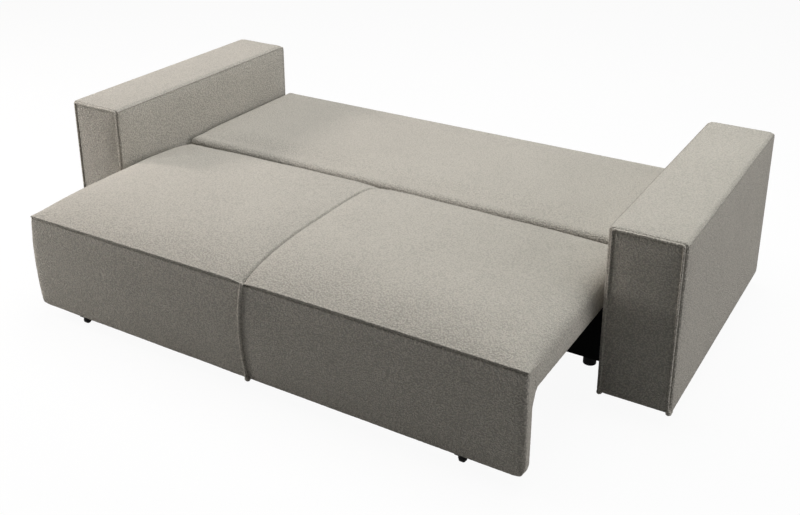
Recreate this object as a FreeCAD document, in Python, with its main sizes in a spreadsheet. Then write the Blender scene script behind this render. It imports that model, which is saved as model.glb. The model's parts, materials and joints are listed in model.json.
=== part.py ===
import FreeCAD
import Part
import Sketcher
import os

# Three-seat sofa bed, shown opened flat: block arms, a bedding box between them,
# a seat with a front panel that rolls out, and a backrest that lies down behind it.
# Millimetres. X runs to the sitter's left hand side (photo's right), Y to the back, Z up.
# Origin: on the floor, at the middle of the opened sofa bed's outline.
# Lengths to the back are counted from the arms' front faces, which lie originBack in front of it.

doc = FreeCAD.newDocument("SofaBed")
sheet = doc.addObject("Spreadsheet::Sheet", "sizes")

# Named sizes, one row each
named = {
    # whole object
    "originBack": 287.8,
    "innerWidth": 1980.0,
    "armWidth": 240.0,
    "armDepth": 1065.0,
    "armTop": 627.0,
    "armBottom": 50.0,
    "armRearRound": 30.0,
    "armEdgeRound": 7.0,
    "coverThick": 4.0,
    "armFoamThick": 14.0,
    "armPanelThick": 16.0,
    "welt": 5.0,
    "weltInset": 2.0,
    "weltFoot": 3.0,
    "topWelt": 3.2,
    # seat slab: rises of the top above the slab's underside, at the seam, the full crown and the side
    "seatGap": 24.0,
    "seatTravel": 485.0,
    "seatRear": 343.0,
    "slabBottom": 297.0,
    "frontShoulder": 155.0,
    "rearShoulder": 143.0,
    "seamFrontHigh": 87.0,
    "seamShoulderHigh": 129.0,
    "seamCrestHigh": 135.0,
    "seamRearHigh": 69.0,
    "fullFrontHigh": 89.0,
    "fullShoulderHigh": 136.0,
    "fullCrestHigh": 143.0,
    "fullRearHigh": 73.0,
    "outerShoulderHigh": 125.0,
    "outerCrestHigh": 131.0,
    "sideFrontHigh": 87.0,
    "sideShoulderHigh": 111.0,
    "sideCrestHigh": 114.0,
    "sideRearHigh": 69.0,
    "rimFrontHigh": 85.0,
    "rimShoulderHigh": 99.0,
    "rimCrestHigh": 101.0,
    "rimRearHigh": 63.0,
    "capFrontHigh": 82.0,
    "capShoulderHigh": 69.0,
    "capCrestHigh": 69.0,
    "capRearHigh": 55.0,
    "rearFaceHigh": 48.0,
    "rearRoundReach": 46.0,
    "shoulderRise": 9.0,
    "crestRise": 8.0,
    "rearRise": 21.0,
    "lowRise": 13.0,
    "seamWide": 75.0,
    "crownMidShare": 0.497,
    "crownOuterShare": 0.818,
    "sideStart": 44.0,
    "rimStart": 15.0,
    "frontSeamHigh": 78.0,
    "rimRiseShare": 0.6,
    "capRiseShare": 0.35,
    # front panel
    "panelThick": 58.0,
    "panelLowRound": 20.0,
    "panelLowInset": 17.0,
    "panelMidShare": 0.507,
    "panelTopCrown": 1.5,
    "panelMidCrown": 9.0,
    "panelLowCrown": 4.0,
    "panelMidDraw": 5.0,
    "panelLowDraw": 8.0,
    "panelCorner": 20.0,
    "seamRidge": 3.6,
    "seamRidgeSink": 1.4,
    "coreThick": 22.0,
    "coreBack": 17.0,
    "coreInset": 26.0,
    # backrest pad, lying flat
    "backClear": 20.0,
    "backTop": 400.0,
    "backThick": 160.0,
    "backRoundTop": 40.0,
    "backRoundLow": 30.0,
    "backRoundRear": 22.0,
    "backCrown": 5.0,
    "backCapWide": 14.0,
    "backCapInset": 9.0,
    "roundRiseShare": 0.29289321881,
    "pivotIn": 85.0,
    "pivotRadius": 8.0,
    "runningGap": 0.05,
    "bushWall": 4.0,
    # timber and boards
    "railThick": 30.0,
    "seatFrameSide": 18.0,
    "seatFrameFront": 65.0,
    "seatFrameRear": 53.0,
    "seatFrameHigh": 53.0,
    "backFrameSide": 11.0,
    "backFrameInset": 18.0,
    "backFrameTop": 346.0,
    "backRailTop": 330.0,
    "dustThick": 1.5,
    "boxFrontIn": 143.0,
    "boardThick": 18.0,
    "boxBottom": 30.0,
    "boxFrontClear": 12.0,
    "boxSideTop": 170.0,
    "boxRearIn": 35.0,
    "floorThick": 8.0,
    "beamWide": 44.0,
    "beamTop": 84.0,
    "runnerWide": 42.0,
    "runnerHigh": 42.0,
    "stripThick": 1.5,
    # feet, rollers, stops
    "footRadius": 22.5,
    "boxFootSide": 105.0,
    "boxFootFront": 24.0,
    "boxFootRear": 18.0,
    "armFootInset": 62.0,
    "armFootFront": 130.0,
    "armFootRear": 115.0,
    "rollerSide": 206.0,
    "rollerIn": 28.0,
    "rollerRadius": 13.0,
    "rollerWide": 20.0,
    "rollerClear": 2.0,
    "rollerAxle": 3.0,
    "plateThick": 2.0,
    "plateWide": 44.0,
    "plateDeep": 36.0,
    "earDeep": 18.0,
    "earLow": 6.0,
    "sideGap": 0.5,
    "rearRollerSide": 39.0,
    "rearRollerIn": 43.0,
    "rearRollerRadius": 20.0,
    "rearRollerWide": 17.0,
    "rearAxle": 4.0,
    "rearPlateThick": 4.0,
    "rearPlateReach": 25.0,
    "rearEarThick": 3.0,
    "rearEarDeep": 32.0,
    "rearEarLow": 10.0,
    "stopDeep": 24.0,
    "stopHigh": 24.5,
    "restGap": 0.3,
    "restPadHigh": 4.0,
    "restPadLong": 120.0,
    "restPadX": 600.0,
    # hinge plates
    "hingeEnd": 31.0,
    "hingeLong": 80.0,
    "hingeLow": 4.0,
    "hingeHigh": 32.0,
    "hingeBlock": 5.0,
    "hingePlate": 4.0,
    "hingeBoss": 20.0,
    "boltRadius": 3.5,
    "boltHead": 6.5,
    "boltHeadHigh": 3.0,
    "boltDepth": 28.0,
    "boltEdge": 20.0,
    # springs, webbing, fixings
    "springWire": 2.0,
    "springRiseShare": 0.485,
    "springSide": 157.0,
    "springLift": 6.2,
    "clipLong": 30.0,
    "clipThick": 2.0,
    "clipDeep": 20.0,
    "webWide": 70.0,
    "webThick": 1.8,
    "webSide": 255.0,
    "armBoltY": 300.0,
    "armBoltRear": 165.0,
    "armBoltZ": 75.0,
    "armBoltLong": 40.0,
    "armBoltRadius": 4.0,
    "armBoltHead": 9.0,
    "bracketLeg": 60.0,
    "bracketThick": 4.0,
    "bracketWide": 40.0,
    "bracketSide": 346.0,
}
# how many of each
armBoltCount = 3
springsPerHalf = 4
springWaves = 17
strapCount = 8

row = 0
for alias in named:
    row = row + 1
    sheet.set("A" + str(row), alias)
    sheet.set("B" + str(row), str(named[alias]))
    sheet.setAlias("B" + str(row), alias)
doc.recompute()


class Size:
    # a length that keeps its number and its formula in named sizes together

    def __init__(self, value, text):
        self.value = value
        self.text = text

    def __add__(self, other):
        other = sized(other)
        return Size(self.value + other.value, "(" + self.text + " + " + other.text + ")")

    def __radd__(self, other):
        return sized(other) + self

    def __sub__(self, other):
        other = sized(other)
        return Size(self.value - other.value, "(" + self.text + " - " + other.text + ")")

    def __rsub__(self, other):
        return sized(other) - self

    def __mul__(self, other):
        other = sized(other)
        return Size(self.value * other.value, "(" + self.text + " * " + other.text + ")")

    def __rmul__(self, other):
        return sized(other) * self

    def __truediv__(self, other):
        other = sized(other)
        return Size(self.value / other.value, "(" + self.text + " / " + other.text + ")")

    def __neg__(self):
        return Size(-self.value, "(0 - " + self.text + ")")


def sized(entry):
    if isinstance(entry, Size):
        return entry
    return Size(float(entry), str(entry))


class Sizes:
    pass


s = Sizes()
for alias in named:
    setattr(s, alias, Size(named[alias], "sizes." + alias))


def place(item, x, y, z):
    item.setExpression("Placement.Base.x", sized(x).text)
    item.setExpression("Placement.Base.y", (sized(y) - s.originBack).text)
    item.setExpression("Placement.Base.z", sized(z).text)


# a block between two corners
def block(label, low, high):
    item = doc.addObject("Part::Box", label)
    item.Label = label
    item.setExpression("Length", sized(high[0] - low[0]).text)
    item.setExpression("Width", sized(high[1] - low[1]).text)
    item.setExpression("Height", sized(high[2] - low[2]).text)
    place(item, low[0], low[1], low[2])
    return item


# a round bar from a start point along one axis
def bar(label, start, axis, radius, length):
    item = doc.addObject("Part::Cylinder", label)
    item.Label = label
    item.setExpression("Radius", sized(radius).text)
    item.setExpression("Height", sized(length).text)
    turns = {"x": (0, 1, 0, 90), "y": (1, 0, 0, -90), "z": (0, 0, 1, 0)}
    turn = turns[axis]
    rotation = FreeCAD.Rotation(FreeCAD.Vector(turn[0], turn[1], turn[2]), turn[3])
    item.Placement = FreeCAD.Placement(FreeCAD.Vector(0, 0, 0), rotation)
    place(item, start[0], start[1], start[2])
    return item


def ball(label, centre, radius):
    item = doc.addObject("Part::Sphere", label)
    item.Label = label
    item.setExpression("Radius", sized(radius).text)
    place(item, centre[0], centre[1], centre[2])
    return item


def cut(label, base, tool):
    item = doc.addObject("Part::Cut", label)
    item.Label = label
    item.Base = base
    item.Tool = tool
    return item


def fuse(label, items):
    item = doc.addObject("Part::MultiFuse", label)
    item.Label = label
    item.Shapes = items
    return item


def group(label, items):
    item = doc.addObject("Part::Compound", label)
    item.Label = label
    item.Links = items
    return item


def mirror(label, source):
    item = doc.addObject("Part::Mirroring", label)
    item.Label = label
    item.Source = source
    item.Normal = FreeCAD.Vector(1, 0, 0)
    return item


def newBody(label):
    item = doc.addObject("PartDesign::Body", label)
    item.Label = label
    return item


def originPlane(body, role):
    for feature in body.Origin.OriginFeatures:
        if feature.Role == role:
            return feature
    raise RuntimeError("no plane " + role)


# A closed outline of lines and arcs in a plane of the body, moved along the plane's normal.
# Each corner is a pair of sizes; each rise is zero for a line or how far the arc stands out
# to the left of its chord.
def outline(body, label, role, offset, corners, rises):
    sketch = body.newObject("Sketcher::SketchObject", label)
    sketch.AttachmentSupport = [(originPlane(body, role), "")]
    sketch.MapMode = "FlatFace"
    sketch.setExpression("AttachmentOffset.Base.z", sized(offset).text)
    count = len(corners)
    if role == "YZ_Plane":
        corners = [(sized(a) - s.originBack, sized(b)) for a, b in corners]
    else:
        corners = [(sized(a), sized(b) - s.originBack) for a, b in corners]
    points = []
    for corner in corners:
        points.append(FreeCAD.Vector(sized(corner[0]).value, sized(corner[1]).value, 0))
    ends = []
    for i in range(count):
        start = points[i]
        stop = points[(i + 1) % count]
        rise = sized(rises[i])
        if rise.value == 0:
            number = sketch.addGeometry(Part.LineSegment(start, stop), False)
            ends.append((number, 1, 2))
        else:
            chord = stop - start
            left = FreeCAD.Vector(-chord.y, chord.x, 0)
            left.normalize()
            middle = (start + stop) * 0.5 + left * rise.value
            arc = Part.Arc(start, middle, stop)
            number = sketch.addGeometry(arc, False)
            first = sketch.getPoint(number, 1)
            if first.distanceToPoint(start) < first.distanceToPoint(stop):
                ends.append((number, 1, 2))
            else:
                ends.append((number, 2, 1))
    for i in range(count):
        here = ends[i]
        after = ends[(i + 1) % count]
        sketch.addConstraint(Sketcher.Constraint("Coincident", here[0], here[2], after[0], after[1]))
    for i in range(count):
        here = ends[i]
        for name, side, kind in (("x", 0, "DistanceX"), ("y", 1, "DistanceY")):
            amount = sized(corners[i][side])
            index = sketch.addConstraint(
                Sketcher.Constraint(kind, -1, 1, here[0], here[1], amount.value))
            sketch.renameConstraint(index, name + str(i))
            sketch.setExpression("Constraints." + name + str(i), amount.text)
        rise = sized(rises[i])
        if rise.value != 0:
            a = corners[i]
            b = corners[(i + 1) % count]
            across = sized(b[0]) - sized(a[0])
            along = sized(b[1]) - sized(a[1])
            height = rise
            if rise.value < 0:
                height = -rise
            radius = (across * across + along * along) / (height * 8) + height / 2
            index = sketch.addConstraint(Sketcher.Constraint("Radius", here[0], radius.value))
            sketch.renameConstraint(index, "r" + str(i))
            sketch.setExpression("Constraints.r" + str(i), radius.text)
    return sketch


def loft(body, label, sections, ruled):
    item = body.newObject("PartDesign::AdditiveLoft", label)
    item.Profile = sections[0]
    item.Sections = sections[1:]
    item.Ruled = ruled
    return item


def pad(body, label, sketch, length):
    item = body.newObject("PartDesign::Pad", label)
    item.Profile = sketch
    item.setExpression("Length", sized(length).text)
    return item


# Places that follow from the sizes
half = s.innerWidth / 2
outer = half + s.armWidth
seatHalf = half - s.seatGap
seatFront = -s.seatTravel
panelBack = seatFront + s.panelThick
panelBottom = s.rollerRadius * 2 + s.rollerClear + s.plateThick
frontSeamTop = s.slabBottom + s.frontSeamHigh
backFront = s.seatRear + s.backClear
backLow = s.backTop - s.backThick
boxIn = half - s.boardThick
boxFront = s.seatRear - s.boxFrontIn
frontBack = boxFront + s.boardThick
boxRearFace = s.armDepth - s.boxRearIn
boxRearTop = backLow - s.restPadHigh
beyond = s.armWidth
nodes = []


def keep(item):
    nodes.append(item)
    return item


def both(rightLabel, leftLabel, source):
    keep(source)
    return keep(mirror(leftLabel, source))


# Arm: side outline with a rounded rear top corner, carried across the arm's width
def armBlock(label, inset, edgeRound):
    body = newBody(label)
    low = s.armBottom + inset
    top = s.armTop - inset
    front = inset
    rear = s.armDepth - inset
    bend = s.armRearRound - inset
    corners = [(front, low), (rear, low), (rear, top - bend), (rear - bend, top), (front, top)]
    corners = [(sized(a), sized(b)) for a, b in corners]
    rises = [0, 0, -(bend * s.roundRiseShare), 0, 0]
    sketch = outline(body, label + "Outline", "YZ_Plane", half + inset, corners, rises)
    solid = pad(body, label + "Pad", sketch, s.armWidth - inset * 2)
    if edgeRound is None:
        return body
    doc.recompute()
    flat = []
    shape = solid.Shape
    for i, edge in enumerate(shape.Edges):
        box = edge.BoundBox
        if box.XLength < s.coverThick.value and box.ZMax > low.value + s.coverThick.value:
            flat.append("Edge" + str(i + 1))
    rounding = body.newObject("PartDesign::Fillet", label + "Round")
    rounding.Base = (solid, flat)
    rounding.setExpression("Radius", edgeRound.text)
    return body


coreFront = s.coverThick + s.armFoamThick
armOuter = armBlock("armOuter", sized(0), s.armEdgeRound)
armInner = armBlock("armInner", s.coverThick, None)
armCore = armBlock("armCore", coreFront, None)
coreLow = s.armBottom + coreFront
coreIn = half + coreFront
coreOut = outer - coreFront
coreRear = s.armDepth - coreFront
coreTop = s.armTop - coreFront
middle = (coreFront + coreRear) / 2
cavityFront = block("armCavityFront",
                    (coreIn + s.armPanelThick, coreFront + s.armPanelThick, coreLow + s.armPanelThick),
                    (coreOut - s.armPanelThick, middle - s.armPanelThick / 2, coreTop - s.armPanelThick))
cavityRear = block("armCavityRear",
                   (coreIn + s.armPanelThick, middle + s.armPanelThick / 2, coreLow + s.armPanelThick),
                   (coreOut - s.armPanelThick, coreRear - s.armPanelThick, coreTop - s.armPanelThick * 2))
armFrameSolid = cut("armFrameSolid", armCore, fuse("armCavities", [cavityFront, cavityRear]))
armFoamSolid = cut("armFoamSolid", armInner, armCore)

# bolts that hold the arms to the box side boards
bolts = []
armBoltStep = (s.armDepth - s.armBoltRear - s.armBoltY) / (armBoltCount - 1)
for i in range(armBoltCount):
    y = s.armBoltY + armBoltStep * i
    z = s.armBoltZ
    shank = bar("armBoltShank" + str(i), (boxIn, y, z), "x", s.armBoltRadius, s.armBoltLong)
    head = bar("armBoltHead" + str(i), (boxIn - s.boltHeadHigh, y, z), "x", s.armBoltHead, s.boltHeadHigh)
    bolts.append(fuse("armBolt" + str(i), [shank, head]))
armBoltsRight = group("armBoltsRight", bolts)
armBoltsLeft = mirror("armBoltsLeft", armBoltsRight)
keep(group("arm_bolts", [armBoltsRight, armBoltsLeft]))
armFrame = cut("arm_right_frame", armFrameSolid, armBoltsRight)
armFoam = cut("arm_right_foam", armFoamSolid, armBoltsRight)
armCover = cut("arm_right_cover", cut("armCoverShell", armOuter, armInner), armBoltsRight)
both("arm_right_frame", "arm_left_frame", armFrame)
both("arm_right_foam", "arm_left_foam", armFoam)
both("arm_right_cover", "arm_left_cover", armCover)

# raised self-welt round the arm's front face and along both top edges
weltLow = s.armBottom + s.weltFoot
innerX = half + s.weltInset
outerX = outer - s.weltInset
topZ = s.armTop - s.weltInset
frontY = s.weltInset
weltParts = [
    bar("weltInnerUp", (innerX, frontY, weltLow), "z", s.welt, topZ - weltLow),
    bar("weltOuterUp", (outerX, frontY, weltLow), "z", s.welt, topZ - weltLow),
    bar("weltAcross", (innerX, frontY, topZ), "x", s.welt, outerX - innerX),
    ball("weltInnerTop", (innerX, frontY, topZ), s.welt),
    ball("weltOuterTop", (outerX, frontY, topZ), s.welt),
    ball("weltInnerEnd", (innerX, frontY, weltLow), s.welt),
    ball("weltOuterEnd", (outerX, frontY, weltLow), s.welt),
    bar("weltInnerBack", (innerX, frontY, topZ), "y", s.topWelt, s.armDepth - s.armRearRound - frontY),
    bar("weltOuterBack", (outerX, frontY, topZ), "y", s.topWelt, s.armDepth - s.armRearRound - frontY),
]
weltSolid = cut("arm_right_welt", fuse("weltRods", weltParts), armOuter)
both("arm_right_welt", "arm_left_welt", weltSolid)

# arm feet, eight alike
armFeet = []
for i, x in enumerate([half + s.armFootInset, outer - s.armFootInset]):
    for j, y in enumerate([s.armFootFront, s.armDepth - s.armFootRear]):
        armFeet.append(bar("armFoot" + str(i) + str(j), (x, y, 0), "z", s.footRadius, s.armBottom))
armFeetRight = group("armFeetRight", armFeet)
keep(group("arm_feet", [armFeetRight, mirror("armFeetLeft", armFeetRight)]))

# Bedding box between the arms
keep(block("box_front_board", (-half, boxFront, s.boxBottom),
           (half, frontBack, s.slabBottom - s.boxFrontClear)))
keep(block("box_rear_board", (-half, boxRearFace, s.boxBottom),
           (half, boxRearFace + s.boardThick, boxRearTop)))
sideBoard = cut("box_side_right",
                block("boxSideSolid", (boxIn, frontBack, s.boxBottom), (half, boxRearFace, s.boxSideTop)),
                armBoltsRight)
both("box_side_right", "box_side_left", sideBoard)
keep(block("box_floor", (-boxIn, frontBack, s.boxBottom),
           (boxIn, boxRearFace, s.boxBottom + s.floorThick)))
keep(block("box_centre_beam", (-(s.beamWide / 2), frontBack, s.boxBottom + s.floorThick),
           (s.beamWide / 2, boxRearFace, s.beamTop)))
both("runner_rail_right", "runner_rail_left",
     block("runner_rail_right", (boxIn - s.runnerWide, frontBack, s.boxSideTop - s.runnerHigh),
           (boxIn, boxRearFace, s.boxSideTop)))
stripTop = s.boxSideTop + s.stripThick
stopTop = stripTop + s.stopHigh
rearRollerX = half - s.rearRollerSide
rearRollerY = s.seatRear - s.rearRollerIn
rearRollerLow = rearRollerX - s.rearRollerWide / 2
rearRollerHigh = rearRollerX + s.rearRollerWide / 2
both("running_strip_right", "running_strip_left",
     block("running_strip_right", (rearRollerLow, frontBack, s.boxSideTop),
           (rearRollerHigh, boxRearFace, stripTop)))
boxFeet = []
boxFootX = half - s.boxFootSide
for i, x in enumerate([-boxFootX, sized(0), boxFootX]):
    for j, y in enumerate([boxFront + s.boxFootFront, boxRearFace - s.boxFootRear]):
        boxFeet.append(bar("boxFoot" + str(i) + str(j), (x, y, 0), "z", s.footRadius, s.boxBottom))
keep(group("box_feet", boxFeet))

# rubber stops at both ends of the rear rollers' run
openStop = rearRollerY - s.rearRollerRadius - s.restGap
shutStop = rearRollerY + s.seatTravel + s.rearRollerRadius + s.restGap
stops = [
    block("stopOpen", (rearRollerLow, openStop - s.stopDeep, stripTop), (rearRollerHigh, openStop, stopTop)),
    block("stopShut", (rearRollerLow, shutStop, stripTop),
          (rearRollerHigh, shutStop + s.stopDeep, stopTop)),
]
stopsRight = group("stopsRight", stops)
keep(group("roller_stops", [stopsRight, mirror("stopsLeft", stopsRight)]))

# rubber pads on the rear board, the flat backrest rests on them
pads = []
for i, x in enumerate([-s.restPadX, sized(0), s.restPadX]):
    pads.append(block("restPad" + str(i), (x - s.restPadLong / 2, boxRearFace, boxRearTop),
                      (x + s.restPadLong / 2, boxRearFace + s.boardThick, backLow - s.restGap)))
keep(group("back_rest_pads", pads))

# Seat half: front-to-back section with a crowned top and a rounded rear edge
def seatSection(body, label, station, heights, inset):
    front = seatFront + inset
    rear = s.seatRear - inset
    corners = [
        (front, s.slabBottom),
        (rear - s.rearRoundReach, s.slabBottom),
        (rear, s.slabBottom + s.rearFaceHigh),
        (rear, s.slabBottom + heights[3] - inset),
        (s.seatRear - s.rearShoulder, s.slabBottom + heights[2] - inset),
        (seatFront + s.frontShoulder, s.slabBottom + heights[1] - inset),
        (front, s.slabBottom + heights[0] - inset),
    ]
    rises = [0, -s.lowRise, 0, -(s.rearRise * heights[4]), -(s.crestRise * heights[4]),
             -(s.shoulderRise * heights[4]), 0]
    return outline(body, label, "YZ_Plane", station, corners, rises)


# heights of the top above the slab's underside, and how much of each arc's rise is left there
fullShare = sized(1)
seamTop = (s.seamFrontHigh, s.seamShoulderHigh, s.seamCrestHigh, s.seamRearHigh, fullShare)
fullTop = (s.fullFrontHigh, s.fullShoulderHigh, s.fullCrestHigh, s.fullRearHigh, fullShare)
outerTop = (s.fullFrontHigh, s.outerShoulderHigh, s.outerCrestHigh, s.fullRearHigh, fullShare)
sideTop = (s.sideFrontHigh, s.sideShoulderHigh, s.sideCrestHigh, s.sideRearHigh, fullShare)
rimTop = (s.rimFrontHigh, s.rimShoulderHigh, s.rimCrestHigh, s.rimRearHigh, s.rimRiseShare)
capTop = (s.capFrontHigh, s.capShoulderHigh, s.capCrestHigh, s.capRearHigh, s.capRiseShare)


def seatHalfSolid(label, inset):
    body = newBody(label)
    stations = [
        (sized(0), seamTop),
        (s.seamWide, fullTop),
        (seatHalf * s.crownMidShare, fullTop),
        (seatHalf * s.crownOuterShare, outerTop),
        (seatHalf - s.sideStart - inset, sideTop),
    ]
    sections = []
    for i, entry in enumerate(stations):
        sections.append(seatSection(body, label + "S" + str(i), entry[0], entry[1], inset))
    loft(body, label + "Crown", sections, False)
    rim = seatSection(body, label + "Rim", seatHalf - s.rimStart - inset, rimTop, inset)
    cap = seatSection(body, label + "Cap", seatHalf - inset, capTop, inset)
    loft(body, label + "Side", [sections[-1], rim, cap], True)
    return body


seatOuter = seatHalfSolid("seatOuter", sized(0))
seatInner = seatHalfSolid("seatInner", s.coverThick)
seatFrameHalf = seatHalf - s.seatFrameSide
frontRail = seatFront + s.seatFrameFront
seatFrameRear = s.seatRear - s.seatFrameRear
seatFrameTop = s.slabBottom + s.seatFrameHigh
noseSpace = block("noseSpace", (-beyond, seatFront - beyond, panelBottom),
                  (seatHalf + beyond, panelBack, frontSeamTop))
seatShell = cut("seatShell", cut("seatOuterCut", seatOuter, noseSpace), seatInner)
frameSpace = block("frameSpace", (-beyond, panelBack, panelBottom),
                   (seatFrameHalf, seatFrameRear, seatFrameTop + s.springLift))
seatFoamSolid = cut("seatFoamSolid", cut("seatInnerCut", seatInner, noseSpace), frameSpace)

# Hinge plates outside the seat's ends, with the pivot inside the backrest's ends
pivotY = backFront + s.pivotIn
pivotZ = s.backTop - s.pivotIn
backFrameHalf = seatHalf - s.backFrameSide
plateIn = seatHalf + s.hingeBlock
plateOut = plateIn + s.hingePlate
hingeBlockEnd = s.seatRear - s.hingeEnd
hingeStart = hingeBlockEnd - s.hingeLong
hingeLow = s.slabBottom + s.hingeLow
hingeHigh = hingeLow + s.hingeHigh
hingeBolts = []
for i, y in enumerate([hingeStart + s.boltEdge, hingeBlockEnd - s.boltEdge]):
    z = (hingeLow + hingeHigh) / 2
    start = seatFrameHalf - s.boltDepth
    shank = bar("hingeBoltShank" + str(i), (start, y, z), "x", s.boltRadius, plateOut - start)
    head = bar("hingeBoltHead" + str(i), (plateOut, y, z), "x", s.boltHead, s.boltHeadHigh)
    hingeBolts.append(fuse("hingeBolt" + str(i), [shank, head]))
hingeBoltsRight = group("hingeBoltsRight", hingeBolts)
allHingeBolts = keep(group("hinge_bolts", [hingeBoltsRight, mirror("hingeBoltsLeft", hingeBoltsRight)]))
seatFoamRight = cut("seat_foam_right", seatFoamSolid, hingeBoltsRight)
seatCoverRight = cut("seat_cover_right", seatShell, hingeBoltsRight)
both("seat_foam_right", "seat_foam_left", seatFoamRight)
both("seat_cover_right", "seat_cover_left", seatCoverRight)
pinStart = backFrameHalf - s.railThick
pinRight = bar("pivot_pin_right", (pinStart, pivotY, pivotZ), "x", s.pivotRadius, plateOut - pinStart)
plateParts = [
    block("hingeBlockPart", (seatHalf, hingeStart, hingeLow), (plateIn, hingeBlockEnd, hingeHigh)),
    block("hingeArmPart", (plateIn, hingeStart, hingeLow), (plateOut, pivotY, hingeHigh)),
    bar("hingeBossPart", (plateIn, pivotY, pivotZ), "x", s.hingeBoss, s.hingePlate),
]
hingePlateSolid = cut("hingePlateDrilled", fuse("hingePlateSolid", plateParts), hingeBoltsRight)
hingePlate = cut("hinge_plate_right", hingePlateSolid, pinRight)
both("hinge_plate_right", "hinge_plate_left", hingePlate)
both("pivot_pin_right", "pivot_pin_left", pinRight)

# Seat frame: side, front, rear and three inner rails, glued into one
frameLow = s.slabBottom + s.dustThick
frameParts = [
    block("seatRailFront", (-seatFrameHalf, frontRail, frameLow),
          (seatFrameHalf, frontRail + s.railThick, seatFrameTop)),
    block("seatRailRear", (-seatFrameHalf, seatFrameRear - s.railThick, frameLow),
          (seatFrameHalf, seatFrameRear, seatFrameTop)),
    block("seatRailRight", (seatFrameHalf - s.railThick, frontRail, frameLow),
          (seatFrameHalf, seatFrameRear, seatFrameTop)),
    block("seatRailLeft", (-seatFrameHalf, frontRail, frameLow),
          (s.railThick - seatFrameHalf, seatFrameRear, seatFrameTop)),
    block("seatRailCentre", (-(s.railThick / 2), frontRail, frameLow),
          (s.railThick / 2, seatFrameRear, seatFrameTop)),
]
frameTimber = fuse("seatFrameTimber", frameParts)
keep(cut("seat_frame", frameTimber, allHingeBolts))
keep(block("seat_dust_cover", (-seatFrameHalf, frontRail, s.slabBottom),
           (seatFrameHalf, seatFrameRear, frameLow)))

# Front panel half: sections across the panel, crowned between the seam and the side
def panelSection(body, label, height, draw, crown, sideInset, inset):
    front = seatFront + draw + inset
    back = panelBack - inset
    side = seatHalf - sideInset - inset
    bend = s.panelCorner - inset
    rise = bend * s.roundRiseShare
    corners = [
        (sized(0), front),
        (side - bend, front),
        (side, front + bend),
        (side, back - bend),
        (side - bend, back),
        (sized(0), back),
    ]
    rises = [-crown, -rise, 0, -rise, 0, 0]
    return outline(body, label, "XY_Plane", height, corners, rises)


panelMiddle = panelBottom + (frontSeamTop - panelBottom) * s.panelMidShare


def panelHalfSolid(label, inset):
    body = newBody(label)
    low = panelBottom + inset
    bend = panelSection(body, label + "Bend", panelBottom + s.panelLowRound, s.panelLowDraw,
                        s.panelLowCrown, sized(0), inset)
    middle = panelSection(body, label + "Mid", panelMiddle, s.panelMidDraw, s.panelMidCrown, sized(0), inset)
    top = panelSection(body, label + "Top", frontSeamTop, sized(0), s.panelTopCrown, sized(0), inset)
    bottom = panelSection(body, label + "Low", low, s.panelLowDraw + s.panelTopCrown, s.panelLowCrown,
                          s.panelLowInset, inset)
    loft(body, label + "Face", [bend, middle, top], False)
    loft(body, label + "Foot", [bend, bottom], True)
    return body


panelOuter = panelHalfSolid("panelOuter", sized(0))
panelInner = panelHalfSolid("panelInner", s.coverThick)
panelCoverRight = cut("panel_cover_right", panelOuter, panelInner)
coreRear = panelBack - s.coreBack
coreFace = coreRear - s.coreThick
coreBox = block("panel_board", (s.coreInset - seatHalf, coreFace, panelBottom + s.coreInset),
                (seatHalf - s.coreInset, coreRear, frontSeamTop))
keep(coreBox)
panelFoamRight = cut("panel_foam_right", panelInner, coreBox)
both("panel_foam_right", "panel_foam_left", panelFoamRight)
both("panel_cover_right", "panel_cover_left", panelCoverRight)

# raised seam down the middle of the front panel
ridge = bar("ridgeRod", (sized(0), seatFront + s.seamRidgeSink, panelBottom + s.coreInset), "z",
            s.seamRidge, frontSeamTop - panelBottom - s.coreInset)
panelOuterLeft = mirror("panelOuterLeft", panelOuter)
keep(cut("panel_seam_welt", ridge, fuse("panelWhole", [panelOuter, panelOuterLeft])))

# steel angles that tie the front panel's board to the seat frame
angles = []
bracketX = seatHalf - s.bracketSide
for i, x in enumerate([-bracketX, bracketX]):
    low = x - s.bracketWide / 2
    high = x + s.bracketWide / 2
    legTop = s.slabBottom
    leg = block("angleLeg" + str(i), (low, panelBack, legTop - s.bracketLeg),
                (high, panelBack + s.bracketThick, legTop))
    shelf = block("angleShelf" + str(i), (low, panelBack, legTop - s.bracketThick),
                  (high, panelBack + s.bracketLeg, legTop))
    angles.append(fuse("angle" + str(i), [leg, shelf]))
keep(group("panel_angles", angles))

# Front rollers under the panel
rollerX = seatHalf - s.rollerSide
rollerY = seatFront + s.rollerIn
rollerLow = rollerX - s.rollerWide / 2
rollerHigh = rollerX + s.rollerWide / 2
plateTop = panelBottom
plateLow = plateTop - s.plateThick
axleFrom = rollerLow - s.sideGap - s.plateThick
axleLong = s.rollerWide + s.sideGap * 2 + s.plateThick * 2
frontAxle = bar("frontAxle", (axleFrom, rollerY, s.rollerRadius), "x", s.rollerAxle, axleLong)
bracket = [
    block("rollerPlate", (rollerX - s.plateWide / 2, rollerY - s.plateDeep / 2, plateLow),
          (rollerX + s.plateWide / 2, rollerY + s.plateDeep / 2, plateTop)),
    block("rollerEarIn", (axleFrom, rollerY - s.earDeep / 2, s.earLow),
          (axleFrom + s.plateThick, rollerY + s.earDeep / 2, plateLow)),
    block("rollerEarOut", (rollerHigh + s.sideGap, rollerY - s.earDeep / 2, s.earLow),
          (rollerHigh + s.sideGap + s.plateThick, rollerY + s.earDeep / 2, plateLow)),
]
both("front_bracket_right", "front_bracket_left",
     cut("front_bracket_right", fuse("rollerBracketSolid", bracket), frontAxle))
keep(group("front_axles", [frontAxle, mirror("frontAxleLeft", frontAxle)]))
frontBore = bar("frontBore", (axleFrom, rollerY, s.rollerRadius), "x", s.rollerAxle + s.runningGap, axleLong)
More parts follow.
